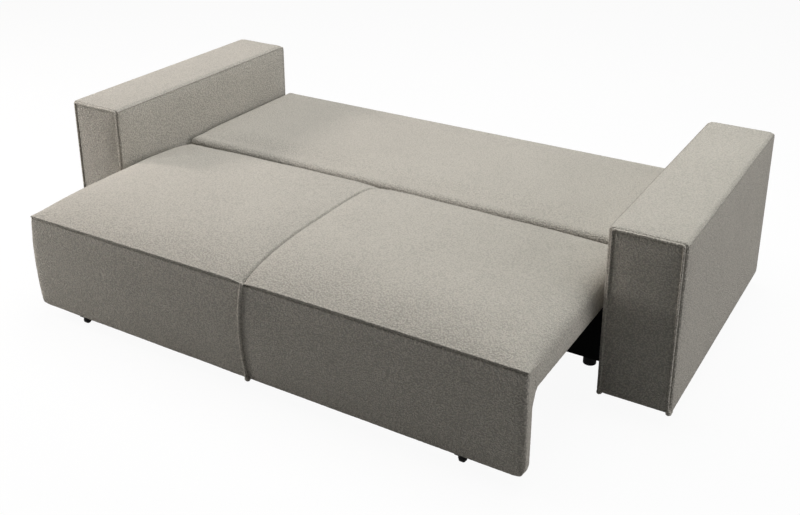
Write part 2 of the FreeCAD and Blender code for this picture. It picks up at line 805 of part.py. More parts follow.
frontTyre = bar("frontTyre", (rollerLow, rollerY, s.rollerRadius), "x", s.rollerRadius, s.rollerWide)
both("front_roller_right", "front_roller_left", cut("front_roller_right", frontTyre, frontBore))

# Rear rollers on the running strips
rearZ = stripTop + s.rearRollerRadius
rearPlateLow = s.slabBottom - s.rearPlateThick
earOneOut = rearRollerLow - s.sideGap
earTwoIn = rearRollerHigh + s.sideGap
rearAxleFrom = earOneOut - s.rearEarThick
rearAxleLong = s.rearRollerWide + s.sideGap * 2 + s.rearEarThick * 2
rearAxle = bar("rearAxleRight", (rearAxleFrom, rearRollerY, rearZ), "x", s.rearAxle, rearAxleLong)
earFront = rearRollerY - s.rearEarDeep / 2
earBack = rearRollerY + s.rearEarDeep / 2
rearBracket = [
    block("rearPlate", (rearRollerX - s.rearPlateReach, earFront, rearPlateLow),
          (seatHalf, earBack, s.slabBottom)),
    block("rearEarIn", (rearAxleFrom, earFront, rearZ - s.rearEarLow), (earOneOut, earBack, rearPlateLow)),
    block("rearEarOut", (earTwoIn, earFront, rearZ - s.rearEarLow),
          (earTwoIn + s.rearEarThick, earBack, rearPlateLow)),
]
both("rear_bracket_right", "rear_bracket_left",
     cut("rear_bracket_right", fuse("rearBracketSolid", rearBracket), rearAxle))
keep(group("rear_axles", [rearAxle, mirror("rearAxleLeft", rearAxle)]))
rearBore = bar("rearBore", (rearAxleFrom, rearRollerY, rearZ), "x", s.rearAxle + s.runningGap, rearAxleLong)
rearTyre = bar("rearTyre", (rearRollerLow, rearRollerY, rearZ), "x", s.rearRollerRadius, s.rearRollerWide)
both("rear_roller_right", "rear_roller_left", cut("rear_roller_right", rearTyre, rearBore))

# Wave springs across the seat frame, each held by a clip at both ends
springZ = seatFrameTop + s.springWire
springStart = frontRail + s.railThick / 2
springEnd = seatFrameRear - s.railThick / 2


def waveSpring(label, x):
    body = newBody(label)
    sketch = body.newObject("Sketcher::SketchObject", label + "Path")
    sketch.AttachmentSupport = [(originPlane(body, "XY_Plane"), "")]
    sketch.MapMode = "FlatFace"
    sketch.setExpression("AttachmentOffset.Base.z", springZ.text)
    step = (springEnd - springStart) / springWaves
    first = springStart - s.originBack
    rise = step * s.springRiseShare
    radius = (step * step) / (rise * 8) + rise / 2
    ends = []
    for i in range(springWaves):
        low = first + step * i
        start = FreeCAD.Vector(x.value, low.value, 0)
        stop = FreeCAD.Vector(x.value, (low + step).value, 0)
        side = 1 if i % 2 == 0 else -1
        middle = FreeCAD.Vector(x.value + side * rise.value, (low + step / 2).value, 0)
        number = sketch.addGeometry(Part.Arc(start, middle, stop), False)
        begin = sketch.getPoint(number, 1)
        if begin.distanceToPoint(start) < begin.distanceToPoint(stop):
            ends.append((number, 1, 2))
        else:
            ends.append((number, 2, 1))
    for i in range(springWaves - 1):
        sketch.addConstraint(Sketcher.Constraint(
            "Coincident", ends[i][0], ends[i][2], ends[i + 1][0], ends[i + 1][1]))
    spots = [(end[0], end[1]) for end in ends] + [(ends[-1][0], ends[-1][2])]
    for i, spot in enumerate(spots):
        for name, kind, amount in (("x", "DistanceX", x), ("y", "DistanceY", first + step * i)):
            index = sketch.addConstraint(
                Sketcher.Constraint(kind, -1, 1, spot[0], spot[1], amount.value))
            sketch.renameConstraint(index, name + str(i))
            sketch.setExpression("Constraints." + name + str(i), amount.text)
    for i, end in enumerate(ends):
        index = sketch.addConstraint(Sketcher.Constraint("Radius", end[0], radius.value))
        sketch.renameConstraint(index, "r" + str(i))
        sketch.setExpression("Constraints.r" + str(i), radius.text)
    ring = body.newObject("Sketcher::SketchObject", label + "Wire")
    ring.AttachmentSupport = [(originPlane(body, "YZ_Plane"), "")]
    ring.MapMode = "FlatFace"
    ring.setExpression("AttachmentOffset.Base.z", x.text)
    centre = FreeCAD.Vector(first.value, springZ.value, 0)
    circle = ring.addGeometry(Part.Circle(centre, FreeCAD.Vector(0, 0, 1), s.springWire.value), False)
    for name, kind, amount in (("cx", "DistanceX", first), ("cy", "DistanceY", springZ)):
        index = ring.addConstraint(Sketcher.Constraint(kind, -1, 1, circle, 3, amount.value))
        ring.renameConstraint(index, name)
        ring.setExpression("Constraints." + name, amount.text)
    index = ring.addConstraint(Sketcher.Constraint("Radius", circle, s.springWire.value))
    ring.renameConstraint(index, "wire")
    ring.setExpression("Constraints.wire", s.springWire.text)
    pipe = body.newObject("PartDesign::AdditivePipe", label + "Pipe")
    pipe.Profile = ring
    pipe.Spine = sketch
    return body


springs = []
clips = []
springStep = (seatFrameHalf - s.springSide) * 2 / (springsPerHalf * 2 - 1)
for i in range(springsPerHalf):
    x = springStep * i + springStep / 2
    springs.append(waveSpring("spring" + str(i), x))
    for j, y in enumerate([springStart, springEnd]):
        solid = block("clipSolid" + str(i) + str(j),
                      (x - s.clipLong / 2, y - s.clipDeep / 2, seatFrameTop),
                      (x + s.clipLong / 2, y + s.clipDeep / 2, springZ + s.springWire + s.clipThick))
        clips.append(cut("clip" + str(i) + str(j), solid, springs[-1]))
springsRight = group("springsRight", springs)
clipsRight = group("clipsRight", clips)
keep(group("seat_springs", [springsRight, mirror("springsLeft", springsRight)]))
keep(group("spring_clips", [clipsRight, mirror("clipsLeft", clipsRight)]))

# Backrest pad, lying flat: front-to-back section carried from end to end
def backSection(body, label, station, inset):
    front = backFront + inset
    rear = s.armDepth - inset
    low = backLow + inset
    top = s.backTop - inset
    bendTop = s.backRoundTop - inset / 2
    bendLow = s.backRoundLow - inset / 2
    bendRear = s.backRoundRear - inset / 2
    share = s.roundRiseShare
    corners = [
        (front + bendLow, low),
        (rear - bendRear, low),
        (rear, low + bendRear),
        (rear, top - bendRear),
        (rear - bendRear, top),
        (front + bendTop, top),
        (front, top - bendTop),
        (front, low + bendLow),
    ]
    rises = [0, -(bendRear * share), 0, -(bendRear * share), -s.backCrown, -(bendTop * share), 0,
             -(bendLow * share)]
    return outline(body, label, "YZ_Plane", station, corners, rises)


def backSolid(label, inset):
    body = newBody(label)
    full = seatHalf - s.backCapWide
    leftCap = backSection(body, label + "LeftCap", inset - seatHalf, inset + s.backCapInset)
    left = backSection(body, label + "Left", -full, inset)
    right = backSection(body, label + "Right", full, inset)
    rightCap = backSection(body, label + "RightCap", seatHalf - inset, inset + s.backCapInset)
    loft(body, label + "Pad", [leftCap, left, right, rightCap], True)
    return body


backOuter = backSolid("backOuter", sized(0))
backInner = backSolid("backInner", s.coverThick)
bushOuter = s.pivotRadius + s.runningGap + s.bushWall
bushFrom = backFrameHalf - s.railThick
bushLong = seatHalf - bushFrom
bushRod = bar("bushRod", (bushFrom, pivotY, pivotZ), "x", bushOuter, bushLong)
bushHole = bar("bushHole", (bushFrom, pivotY, pivotZ), "x", s.pivotRadius + s.runningGap, bushLong)
both("back_bush_right", "back_bush_left", cut("back_bush_right", bushRod, bushHole))
bushTools = group("bushTools", [bushRod, mirror("bushRodLeft", bushRod)])
frameFront = backFront + s.backFrameInset
frameRear = s.armDepth - s.backFrameInset
backSpace = block("backSpace", (-backFrameHalf, frameFront, backLow),
                  (backFrameHalf, frameRear, s.backFrameTop))
keep(cut("back_foam", cut("backFoamSolid", backInner, backSpace), bushTools))
underSpace = block("underSpace", (-backFrameHalf, frameFront, backLow - beyond),
                   (backFrameHalf, frameRear, backLow + beyond / 2))
openShell = cut("backShellOpen", cut("backShell", backOuter, backInner), underSpace)
keep(cut("back_cover", openShell, bushTools))
keep(block("back_dust_cover", (-backFrameHalf, frameFront, backLow),
           (backFrameHalf, frameRear, backLow + s.dustThick)))
timberLow = backLow + s.dustThick
backRails = [
    block("backRailFront", (-backFrameHalf, frameFront, timberLow),
          (backFrameHalf, frameFront + s.railThick, s.backRailTop)),
    block("backRailRear", (-backFrameHalf, frameRear - s.railThick, timberLow),
          (backFrameHalf, frameRear, s.backRailTop)),
    block("backRailRight", (backFrameHalf - s.railThick, frameFront, timberLow),
          (backFrameHalf, frameRear, s.backFrameTop)),
    block("backRailLeft", (-backFrameHalf, frameFront, timberLow),
          (s.railThick - backFrameHalf, frameRear, s.backFrameTop)),
    block("backRailCentre", (-(s.railThick / 2), frameFront, timberLow),
          (s.railThick / 2, frameRear, s.backRailTop)),
]
keep(cut("back_frame", fuse("backFrameTimber", backRails), bushTools))

# elastic webbing over the backrest frame, eight straps alike
straps = []
webStep = (backFrameHalf - s.webSide) * 2 / (strapCount - 1)
for i in range(strapCount):
    x = webStep * i - webStep * (strapCount - 1) / 2
    straps.append(block("strap" + str(i), (x - s.webWide / 2, frameFront, s.backRailTop),
                        (x + s.webWide / 2, frameRear, s.backRailTop + s.webThick)))
keep(group("back_webbing", straps))

doc.recompute()

problems = []
for item in doc.Objects:
    for word in item.State:
        if word in ("Invalid", "Error"):
            problems.append(item.Name + " " + word)
for item in nodes:
    if item.Shape.isNull() or not item.Shape.isValid():
        problems.append(item.Label + " has no valid shape")
if problems:
    raise RuntimeError("; ".join(problems))

os.makedirs("parts", exist_ok=True)
for item in nodes:
    item.Shape.exportStep("parts/" + item.Label + ".step")
print(len(nodes), "nodes written")
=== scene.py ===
import json
import math

import bpy
import bmesh
import numpy as np
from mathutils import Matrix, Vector


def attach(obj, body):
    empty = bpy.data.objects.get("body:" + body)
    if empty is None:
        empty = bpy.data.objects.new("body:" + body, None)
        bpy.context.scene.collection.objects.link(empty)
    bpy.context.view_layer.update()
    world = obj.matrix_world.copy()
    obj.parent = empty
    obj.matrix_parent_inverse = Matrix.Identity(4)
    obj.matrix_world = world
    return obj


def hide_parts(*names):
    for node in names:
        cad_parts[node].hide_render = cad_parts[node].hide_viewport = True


# Sofa bed opened flat. Metres, X to photo's right, Y to the back, Z up, floor at 0.
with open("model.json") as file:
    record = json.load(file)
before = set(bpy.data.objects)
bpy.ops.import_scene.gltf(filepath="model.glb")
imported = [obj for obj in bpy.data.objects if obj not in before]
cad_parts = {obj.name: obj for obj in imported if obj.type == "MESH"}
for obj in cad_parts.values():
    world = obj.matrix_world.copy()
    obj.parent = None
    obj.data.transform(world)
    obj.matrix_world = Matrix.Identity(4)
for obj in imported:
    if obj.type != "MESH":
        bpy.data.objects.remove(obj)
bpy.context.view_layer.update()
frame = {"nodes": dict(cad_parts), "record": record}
nodes = frame["nodes"]
print("frame loaded", len(nodes), "nodes")

armsFront = -0.2878                 # where the arms' front faces stand in the row frame
innerHalf = 0.990                   # from the middle to an arm's inner face
nearest = 0.0007                    # grid lines closer together than this are left out


# Places of the grid lines between low and high: parts even steps in each rounded end, steps of about
# step between them, and the extra places.
def gridLine(low, high, step, lowRound=0.0, highRound=0.0, parts=3, extra=()):
    a = low + lowRound
    b = high - highRound
    middle = np.linspace(a, b, max(2, int(round((b - a) / step)) + 1))
    ends = [middle]
    if lowRound:
        ends.append(np.linspace(low, a, parts + 1))
    if highRound:
        ends.append(np.linspace(b, high, parts + 1))
    line = np.unique(np.round(np.concatenate(ends + [np.array(extra, float)]), 5))
    keep = np.concatenate([[True], np.diff(line) > nearest])
    return line[keep]


# Points and quads of the six sides of a box, each side a grid on two of the three lines.
def boxShell(xs, ys, zs):
    lines = (xs, ys, zs)
    counts = tuple(len(line) for line in lines)
    number = np.arange(int(np.prod(counts))).reshape(counts)
    quads = []
    for axis in range(3):
        for end in (0, -1):
            side = np.take(number, end, axis=axis)
            four = np.stack([side[:-1, :-1], side[1:, :-1], side[1:, 1:], side[:-1, 1:]], -1).reshape(-1, 4)
            inward = (end == 0) != (axis == 1)
            quads.append(four[:, ::-1] if inward else four)
    quads = np.concatenate(quads)
    used, quads = np.unique(quads, return_inverse=True)
    i, j, k = np.unravel_index(used, counts)
    points = np.stack([xs[i], ys[j], zs[k]], 1)
    return points, quads.reshape(-1, 4)


# Rounds one edge of a box: a point whose distances into the edge's square zone are qa and qb moves
# towards the square's inner corner by max(qa, qb) / hypot(qa, qb), which turns squares into circles.
def roundEdge(points, a, edgeA, signA, b, edgeB, signB, radius):
    qa = radius - (edgeA - points[:, a]) * signA
    qb = radius - (edgeB - points[:, b]) * signB
    inside = (qa > 0) & (qb > 0)
    share = np.maximum(qa, qb) / np.maximum(np.hypot(qa, qb), 1e-9)
    points[:, a] = np.where(inside, edgeA - signA * (radius - qa * share), points[:, a])
    points[:, b] = np.where(inside, edgeB - signB * (radius - qb * share), points[:, b])


# A smooth-shaded object of these points and quads, linked to the scene.
def meshPiece(name, points, quads):
    mesh = bpy.data.meshes.new(name)
    mesh.from_pydata(points.tolist(), [], quads.tolist())
    mesh.polygons.foreach_set("use_smooth", np.ones(len(mesh.polygons), bool))
    mesh.update()
    piece = bpy.data.objects.new(name, mesh)
    bpy.context.scene.collection.objects.link(piece)
    return piece


# The mesh's points, one row each.
def readPoints(mesh):
    flat = np.empty(len(mesh.vertices) * 3, np.float32)
    mesh.vertices.foreach_get("co", flat)
    return flat.reshape(-1, 3).astype(float)


# Puts the points back, in the same order.
def writePoints(mesh, points):
    mesh.vertices.foreach_set("co", points.astype(np.float32).ravel())
    mesh.update()


# The direction in which the surface faces at each point.
def readNormals(mesh):
    flat = np.empty(len(mesh.vertices) * 3, np.float32)
    mesh.vertex_normals.foreach_get("vector", flat)
    return flat.reshape(-1, 3).astype(float)


# Soft unevenness between -1 and 1: the mean of six sine waves of about that length in fixed directions.
def waves(points, length, phase):
    turn = np.random.default_rng(phase)
    total = np.zeros(len(points))
    for i in range(6):
        way = turn.normal(size=3)
        way /= np.linalg.norm(way)
        total += np.sin(points @ way * (2 * math.pi / (length * turn.uniform(0.75, 1.4))) + turn.uniform(0, 6.3))
    return total / 6


cloth = dict(frames=20, quality=5, mass=0.4, pressure=4.0, stiffness=18.0, bending=0.6)


# Blows the cover up with Blender's cloth, held where held is 1. A point that moved by far moves by
# far * cap / (cap + far) in the end, which stays below cap.
def swell(piece, held, cap):
    scene = bpy.context.scene
    rest = readPoints(piece.data)
    group = piece.vertex_groups.new(name="held")
    levels = np.round(np.clip(held, 0, 1), 1)
    for level in np.unique(levels[levels > 0]):
        group.add(np.flatnonzero(levels == level).tolist(), float(level), "REPLACE")
    modifier = piece.modifiers.new("Cloth", "CLOTH")
    settings = modifier.settings
    settings.quality = cloth["quality"]
    settings.mass = cloth["mass"]
    settings.tension_stiffness = cloth["stiffness"]
    settings.compression_stiffness = cloth["stiffness"]
    settings.shear_stiffness = cloth["stiffness"] / 2
    settings.bending_stiffness = cloth["bending"]
    settings.use_pressure = True
    settings.uniform_pressure_force = cloth["pressure"]
    settings.effector_weights.gravity = 0.0
    settings.vertex_group_mass = "held"
    modifier.collision_settings.use_collision = False
    modifier.point_cache.frame_start = 1
    modifier.point_cache.frame_end = cloth["frames"]
    for number in range(1, cloth["frames"] + 1):
        scene.frame_set(number)
    dressed = piece.evaluated_get(bpy.context.evaluated_depsgraph_get())
    moved = readPoints(dressed.data) - rest
    piece.modifiers.remove(modifier)
    piece.vertex_groups.clear()
    scene.frame_set(1)
    far = np.linalg.norm(moved, axis=1)
    share = cap / (cap + far)
    writePoints(piece.data, rest + moved * share[:, None])


# One subdivision, applied, then the small random lift.
def refine(piece, fuzz, phase):
    modifier = piece.modifiers.new("Finer", "SUBSURF")
    modifier.levels = modifier.render_levels = 1
    dressed = piece.evaluated_get(bpy.context.evaluated_depsgraph_get())
    mesh = bpy.data.meshes.new_from_object(dressed)
    old = piece.data
    piece.modifiers.clear()
    piece.data = mesh
    bpy.data.meshes.remove(old)
    mesh.name = piece.name
    roughen(piece, fuzz, phase)


# The same shape on the other side of X = 0, its quads turned round so that they still face outward.
def mirrored(points, quads):
    other = points.copy()
    other[:, 0] = -other[:, 0]
    return other, quads[:, ::-1]


# Fills the open ends of a piece and turns all faces outward.
def closeEnds(piece):
    shape = bmesh.new()
    shape.from_mesh(piece.data)
    bmesh.ops.holes_fill(shape, edges=[e for e in shape.edges if e.is_boundary])
    bmesh.ops.recalc_face_normals(shape, faces=shape.faces)
    shape.to_mesh(piece.data)
    shape.free()
    return piece


# A round cord along a path: at each path point a circle of its radius in the plane across the path, with
# rings that shrink to a point as a half ball at both ends.
def tube(name, path, radius, around=12, closedEnds=4):
    path = np.asarray(path, float)
    radius = np.broadcast_to(radius, len(path))
    start = path[0] - path[1]
    stop = path[-1] - path[-2]
    start /= np.linalg.norm(start)
    stop /= np.linalg.norm(stop)
    turn = np.linspace(0, math.pi / 2, closedEnds + 1)[1:]
    first = path[0] + start * (radius[0] * np.sin(turn[::-1]))[:, None]
    last = path[-1] + stop * (radius[-1] * np.sin(turn))[:, None]
    line = np.concatenate([first, path, last])
    wide = np.concatenate([np.cos(turn[::-1]) * radius[0], radius, np.cos(turn) * radius[-1]])
    wide = np.maximum(wide, radius.min() * 0.04)    # the end rings stay open, and closeEnds fills them
    along = np.gradient(line, axis=0)
    along /= np.linalg.norm(along, axis=1)[:, None]
    guide = np.array([0.3, 0.5, 0.81])          # along no path here, so that every circle has a start
    guide = guide - along * (along @ guide)[:, None]
    across = guide / np.linalg.norm(guide, axis=1)[:, None]
    other = np.cross(along, across)
    angle = np.arange(around) * 2 * math.pi / around
    ring = across[:, None] * np.cos(angle)[None, :, None] + other[:, None] * np.sin(angle)[None, :, None]
    points = (line[:, None] + ring * wide[:, None, None]).reshape(-1, 3)
    rows = np.arange(len(line) * around).reshape(len(line), around)
    after = np.roll(rows, -1, axis=1)
    quads = np.stack([rows[:-1], after[:-1], after[1:], rows[1:]], -1).reshape(-1, 4)
    return closeEnds(meshPiece(name, points, quads))


# A small random lift of each point along its normal, for the curly pile.
def roughen(piece, fuzz, phase):
    points = readPoints(piece.data)
    lift = np.random.default_rng(phase).uniform(-1, 1, len(points))
    writePoints(piece.data, points + readNormals(piece.data) * (lift * fuzz)[:, None])


# A path through corners: straight runs cut back by bend at each corner, the corner rounded by three
# rounds of cutting each run at a quarter and at three quarters, then points at even steps.
def bentPath(corners, bend, step):
    corners = np.asarray(corners, float)
    line = [corners[0]]
    for before, here, after in zip(corners[:-2], corners[1:-1], corners[2:]):
        back = (before - here) / np.linalg.norm(before - here)
        on = (after - here) / np.linalg.norm(after - here)
        line += [here + back * bend, here, here + on * bend]
    line.append(corners[-1])
    line = np.array(line)
    for _ in range(3):
        cutA = line[:-1] * 0.75 + line[1:] * 0.25
        cutB = line[:-1] * 0.25 + line[1:] * 0.75
        line = np.concatenate([line[:1], np.stack([cutA, cutB], 1).reshape(-1, 3), line[-1:]])
    reach = np.concatenate([[0], np.cumsum(np.linalg.norm(np.diff(line, axis=0), axis=1))])
    spots = np.linspace(0, reach[-1], int(reach[-1] / step) + 2)
    return np.stack([np.interp(spots, reach, line[:, i]) for i in range(3)], 1)


# A number on a shader socket. Each sum, difference or product of it adds one Math node.
class Value:
    def __init__(self, net, socket):
        self.net = net
        self.socket = socket

    # This value and the others through one Math node of that kind.
    def math(self, kind, *others):
        return self.net.math(kind, self, *others)

    def __add__(self, other):
        return self.math("ADD", other)

    def __radd__(self, other):
        return self.math("ADD", other)

    def __sub__(self, other):
        return self.math("SUBTRACT", other)

    def __rsub__(self, other):
        return self.net.math("SUBTRACT", other, self)

    def __mul__(self, other):
        return self.math("MULTIPLY", other)

    # 0 below low, 1 above high and a smooth rise between them.
    def above(self, low, high):
        ends = {"Value": self, "From Min": low, "From Max": high}
        return self.net.add("MapRange", {"interpolation_type": "SMOOTHSTEP", "clamp": True}, ends)["Result"]


# The nodes of one material or of the world.
class Net:
    def __init__(self, owner):
        self.owner = owner
        owner.use_nodes = True
        self.tree = owner.node_tree
        self.tree.nodes.clear()

    # A node of the type kind: its settings first, then the values or links of its sockets. Returns its
    # outputs by name.
    def add(self, kind, settings=None, inputs=None):
        node = self.tree.nodes.new("ShaderNode" + kind)
        for key, entry in (settings or {}).items():
            if key == "stops":
                ramp = node.color_ramp
                while len(ramp.elements) < len(entry):
                    ramp.elements.new(0.5)
                for element, (place, colour) in zip(ramp.elements, entry):
                    element.position = place
                    element.color = (*colour, 1.0)
            else:
                setattr(node, key, entry)
        for key, entry in (inputs or {}).items():
            socket = node.inputs[key]
            if isinstance(entry, Value):
                self.tree.links.new(entry.socket, socket)
            elif isinstance(entry, (tuple, list)) and len(entry) == 3 and socket.type == "RGBA":
                socket.default_value = (*entry, 1.0)
            else:
                socket.default_value = entry
        return {output.name: Value(self, output) for output in node.outputs if output.enabled}

    # The result of one Math node of that kind.
    def math(self, kind, *entries):
        return self.add("Math", {"operation": kind}, dict(enumerate(entries)))["Value"]

    # Two colours blended: first times 1 - share plus second times share, or another blend type.
    def mix(self, share, first, second, blend="MIX"):
        node = self.tree.nodes.new("ShaderNodeMix")
        node.data_type = "RGBA"
        node.blend_type = blend
        for place, entry in ((0, share), (6, first), (7, second)):
            socket = node.inputs[place]
            if isinstance(entry, Value):
                self.tree.links.new(entry.socket, socket)
            elif place:
                socket.default_value = (*entry, 1.0)
            else:
                socket.default_value = entry
        return Value(self, node.outputs[2])

    # The object's own coordinates times scale.
    def place(self, scale=(1, 1, 1)):
        spot = self.add("TexCoord")["Object"]
        return self.add("Mapping", None, {"Vector": spot, "Scale": scale})["Vector"]

    # Grey noise between 0 and 1, with about scale spots to a metre.
    def noise(self, spot, scale, detail=2.0, rough=0.5, warp=0.0):
        ends = {"Vector": spot, "Scale": scale, "Detail": detail, "Roughness": rough, "Distortion": warp}
        return self.add("TexNoise", None, ends)["Fac"]

    # The surface shader with these sockets, and the way out.
    def finish(self, **ends):
        names = {key: key.replace("_", " ") for key in ends}
        shader = self.add("BsdfPrincipled", None, {names[key]: entry for key, entry in ends.items()})["BSDF"]
        self.add("OutputMaterial", None, {"Surface": shader})
        return self.owner


boucleLook = dict(light=(0.560, 0.529, 0.467), middle=(0.487, 0.460, 0.406), dark=(0.365, 0.345, 0.305),
                  curl=190.0, coarse=0.60, fine=1.7, tuft=0.22, broad=5.0, loopPart=0.40, coarsePart=0.35,
                  finePart=0.35, middleHeight=0.55, lift=0.0060, flatLift=0.45, flatGrain=0.42, sideGrain=0.35,
                  contrast=1.6, tuftShade=0.10, broadShade=0.12, level=0.39, rough=0.96, sheen=0.10,
                  shine=0.12, seamShade=0.9, highlightTone=1.16, lineShade=0.74)


# Curly pile: small round loops, with painted shade on the ground between them. The height is the loops' round
# tops, a coarser and a finer noise together, and the colour follows the height, darker where it is low, which is
# painted shade between the loops, and a little lighter or darker from tuft to tuft. Both are strongest on faces
# that look forward, weaker on sides and weakest on level ones: in the bump where pile is pressed, in the colour as
# painted shade in the grain.
def boucleMaterial(name, look, tone=1.0):
    net = Net(bpy.data.materials.new(name))
    spot = net.place()
    facing = net.add("SeparateXYZ", None, {"Vector": net.add("TexCoord")["Normal"]})
    upright = facing["Y"].math("ABSOLUTE") + facing["X"].math("ABSOLUTE") * look["sideGrain"]
    coarse = net.noise(spot, look["curl"] * look["coarse"], 2.0, 0.6)
    loops = net.add("TexVoronoi", {"feature": "SMOOTH_F1"},
                    {"Vector": spot, "Scale": look["curl"], "Smoothness": 0.5, "Randomness": 1.0})["Distance"]
    fine = net.noise(spot, look["curl"] * look["fine"], 2.0, 0.6)
    tufts = net.noise(spot, look["curl"] * look["tuft"], 2.0, 0.55)
    broad = net.noise(spot, look["broad"], 2.0, 0.5)
    tops = (1.0 - loops.above(0.1, 0.75)) * look["loopPart"]
    height = tops + coarse * look["coarsePart"] + fine * look["finePart"]
    # darker low pile is painted shade between the loops, made stronger on faces that look forward
    grain = (height - look["middleHeight"]) * (look["flatGrain"] + upright * (1.0 - look["flatGrain"]))
    shade = (grain * look["contrast"] + tufts * look["tuftShade"] + broad * look["broadShade"]
             + look["level"]).above(0.15, 0.85)
    colour = net.add("ValToRGB", {"stops": [(0.0, look["dark"]), (0.5, look["middle"]), (1.0, look["light"])]},
                     {"Fac": shade})["Color"]
    # a tone below 1 gives a copy with painted shade, a tone above 1 a copy with a painted highlight
    if tone != 1.0:
        colour = net.mix(1.0, colour, (tone, tone, tone), "MULTIPLY")
    raised = height * (look["flatLift"] + upright * (1.0 - look["flatLift"]))
    normal = net.add("Bump", None, {"Height": raised, "Strength": 1.0, "Distance": look["lift"]})["Normal"]
    return net.finish(Base_Color=colour, Roughness=look["rough"], Normal=normal, Sheen_Weight=look["sheen"],
                      Sheen_Roughness=0.5, Specular_IOR_Level=look["shine"])


# A moulded, rolled or woven finish: the colour a little lighter and darker over a fine grain, and the same
# grain in the roughness and the bump.
def plainMaterial(name, colour, rough, grain, depth, spread=0.15, metal=0.0, scale=(1, 1, 1), shine=0.5):
    net = Net(bpy.data.materials.new(name))
    spot = net.place(scale)
    fine = net.noise(spot, grain, 3.0, 0.6)
    broad = net.noise(spot, grain / 14, 2.0, 0.5)
    shade = fine * 0.6 + broad * 0.4
    low = tuple(c * (1 - spread) for c in colour)
    high = tuple(min(1.0, c * (1 + spread)) for c in colour)
    tint = net.mix(shade.above(0.3, 0.7), low, high)
    normal = net.add("Bump", None, {"Height": fine, "Strength": 0.6, "Distance": depth})["Normal"]
    roughness = rough - 0.08 + broad * 0.16
    return net.finish(Base_Color=tint, Roughness=roughness, Normal=normal, Metallic=metal,
                      Specular_IOR_Level=shine)


# Sawn softwood: rings drawn out along the grain, with fine pores.
def timberMaterial(name, pale, deep):
    net = Net(bpy.data.materials.new(name))
    spot = net.place((1.2, 14.0, 14.0))
    rings = net.noise(spot, 4.0, 4.0, 0.6, 1.2)
    pores = net.noise(net.place((6.0, 160.0, 160.0)), 3.0, 2.0, 0.6)
    tint = net.mix((rings * 0.75 + pores * 0.25).above(0.35, 0.65), deep, pale)
    normal = net.add("Bump", None, {"Height": pores, "Strength": 0.4, "Distance": 0.0004})["Normal"]
    return net.finish(Base_Color=tint, Roughness=0.62 + rings * 0.15, Normal=normal)


boucle = boucleMaterial("boucle", boucleLook)
# a darker copy of the pile: painted shade on the seams in the seat's middle valley and in the groove under its
# front edge
boucleShadeSeam = boucleMaterial("boucleShadeSeam", boucleLook, boucleLook["seamShade"])
# a lighter copy of the pile: painted highlight on the arms' welts and the panel's middle ridge
boucleHighlight = boucleMaterial("boucleHighlight", boucleLook, boucleLook["highlightTone"])
# a still darker copy of the pile: painted shade on the seams along the arms' top edges
boucleShadeLine = boucleMaterial("boucleShadeLine", boucleLook, boucleLook["lineShade"])
blackSteel = plainMaterial("blackSteel", (0.012, 0.012, 0.012), 0.75, 300.0, 0.0001, 0.3, shine=0.12)
cadLooks = {
    "foam": plainMaterial("foamCells", (0.80, 0.74, 0.55), 0.9, 700.0, 0.0006),
    "dust_cloth": plainMaterial("dustCloth", (0.012, 0.012, 0.012), 0.92, 900.0, 0.0002, 0.3, shine=0.05),
    "black_board": plainMaterial("blackBoard", (0.006, 0.006, 0.006), 0.9, 240.0, 0.0002, 0.3,
                                 scale=(0.2, 1, 1), shine=0.05),
    "black_plastic": plainMaterial("blackPlastic", (0.008, 0.008, 0.008), 0.8, 500.0, 0.0002, 0.25, shine=0.1),
    "roller_plastic": plainMaterial("rollerPlastic", (0.008, 0.008, 0.008), 0.7, 400.0, 0.0001, 0.25,
                                    shine=0.12),
    "rubber": plainMaterial("rubber", (0.010, 0.010, 0.010), 0.9, 600.0, 0.0003, 0.3, shine=0.1),
    "timber": timberMaterial("sawnTimber", (0.70, 0.53, 0.34), (0.50, 0.34, 0.19)),
    "steel": plainMaterial("zincSteel", (0.50, 0.51, 0.52), 0.38, 60.0, 0.0001, 0.14, 0.95),
    "boucle": boucle,
}
slots = {entry["node"]: entry["material_slot"] for entry in frame["record"]["subparts"]}
blackNodes = ("bracket", "axles")           # the rollers' carriers are painted black
for nodeName, node in nodes.items():
    node.data.materials.clear()
    painted = any(word in nodeName for word in blackNodes)
    node.data.materials.append(blackSteel if painted else cadLooks[slots[nodeName]])
print("materials ready")


# Gives a piece its material and body, and hides the CAD nodes that it stands for. The slot name is not used.
def dress(piece, body, material, slotName, *replaced):
    piece.data.materials.clear()
    piece.data.materials.append(material)
    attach(piece, body)
    if replaced:
        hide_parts(*replaced)


arm = dict(wide=0.240, deep=1.080, low=0.050, top=0.627, edge=0.015, faceEdge=0.010, rearBend=0.044,
           rearEdge=0.026, grid=0.013, cap=0.005, crown=0.0030, crownReach=0.07, uneven=0.0012, unevenLength=0.22,
           sink=0.0024, sinkReach=0.0072, topSinkReach=0.004, flatFoot=0.004, holdReach=0.03, fuzz=0.0004,
           weltRadius=0.0036, weltIn=0.0125, weltTop=0.0070, weltOut=0.0006, weltBend=0.0155, weltFoot=-0.0010,
           weltStep=0.004, footHeight=0.05, footOut=0.0035, footBack=0.020, footTurn=0.004, footRadius=0.0058,
           footLength=0.028, seamRadius=0.0021, seamIn=0.0010, seamDrop=0.0085, seamStart=0.003, seamFoot=0.02,
           seamBend=0.020, seamStep=0.006, closeLines=(0.0105, 0.0128, 0.0155, 0.0200, 0.0270),
           topLines=(0.0045, 0.009))


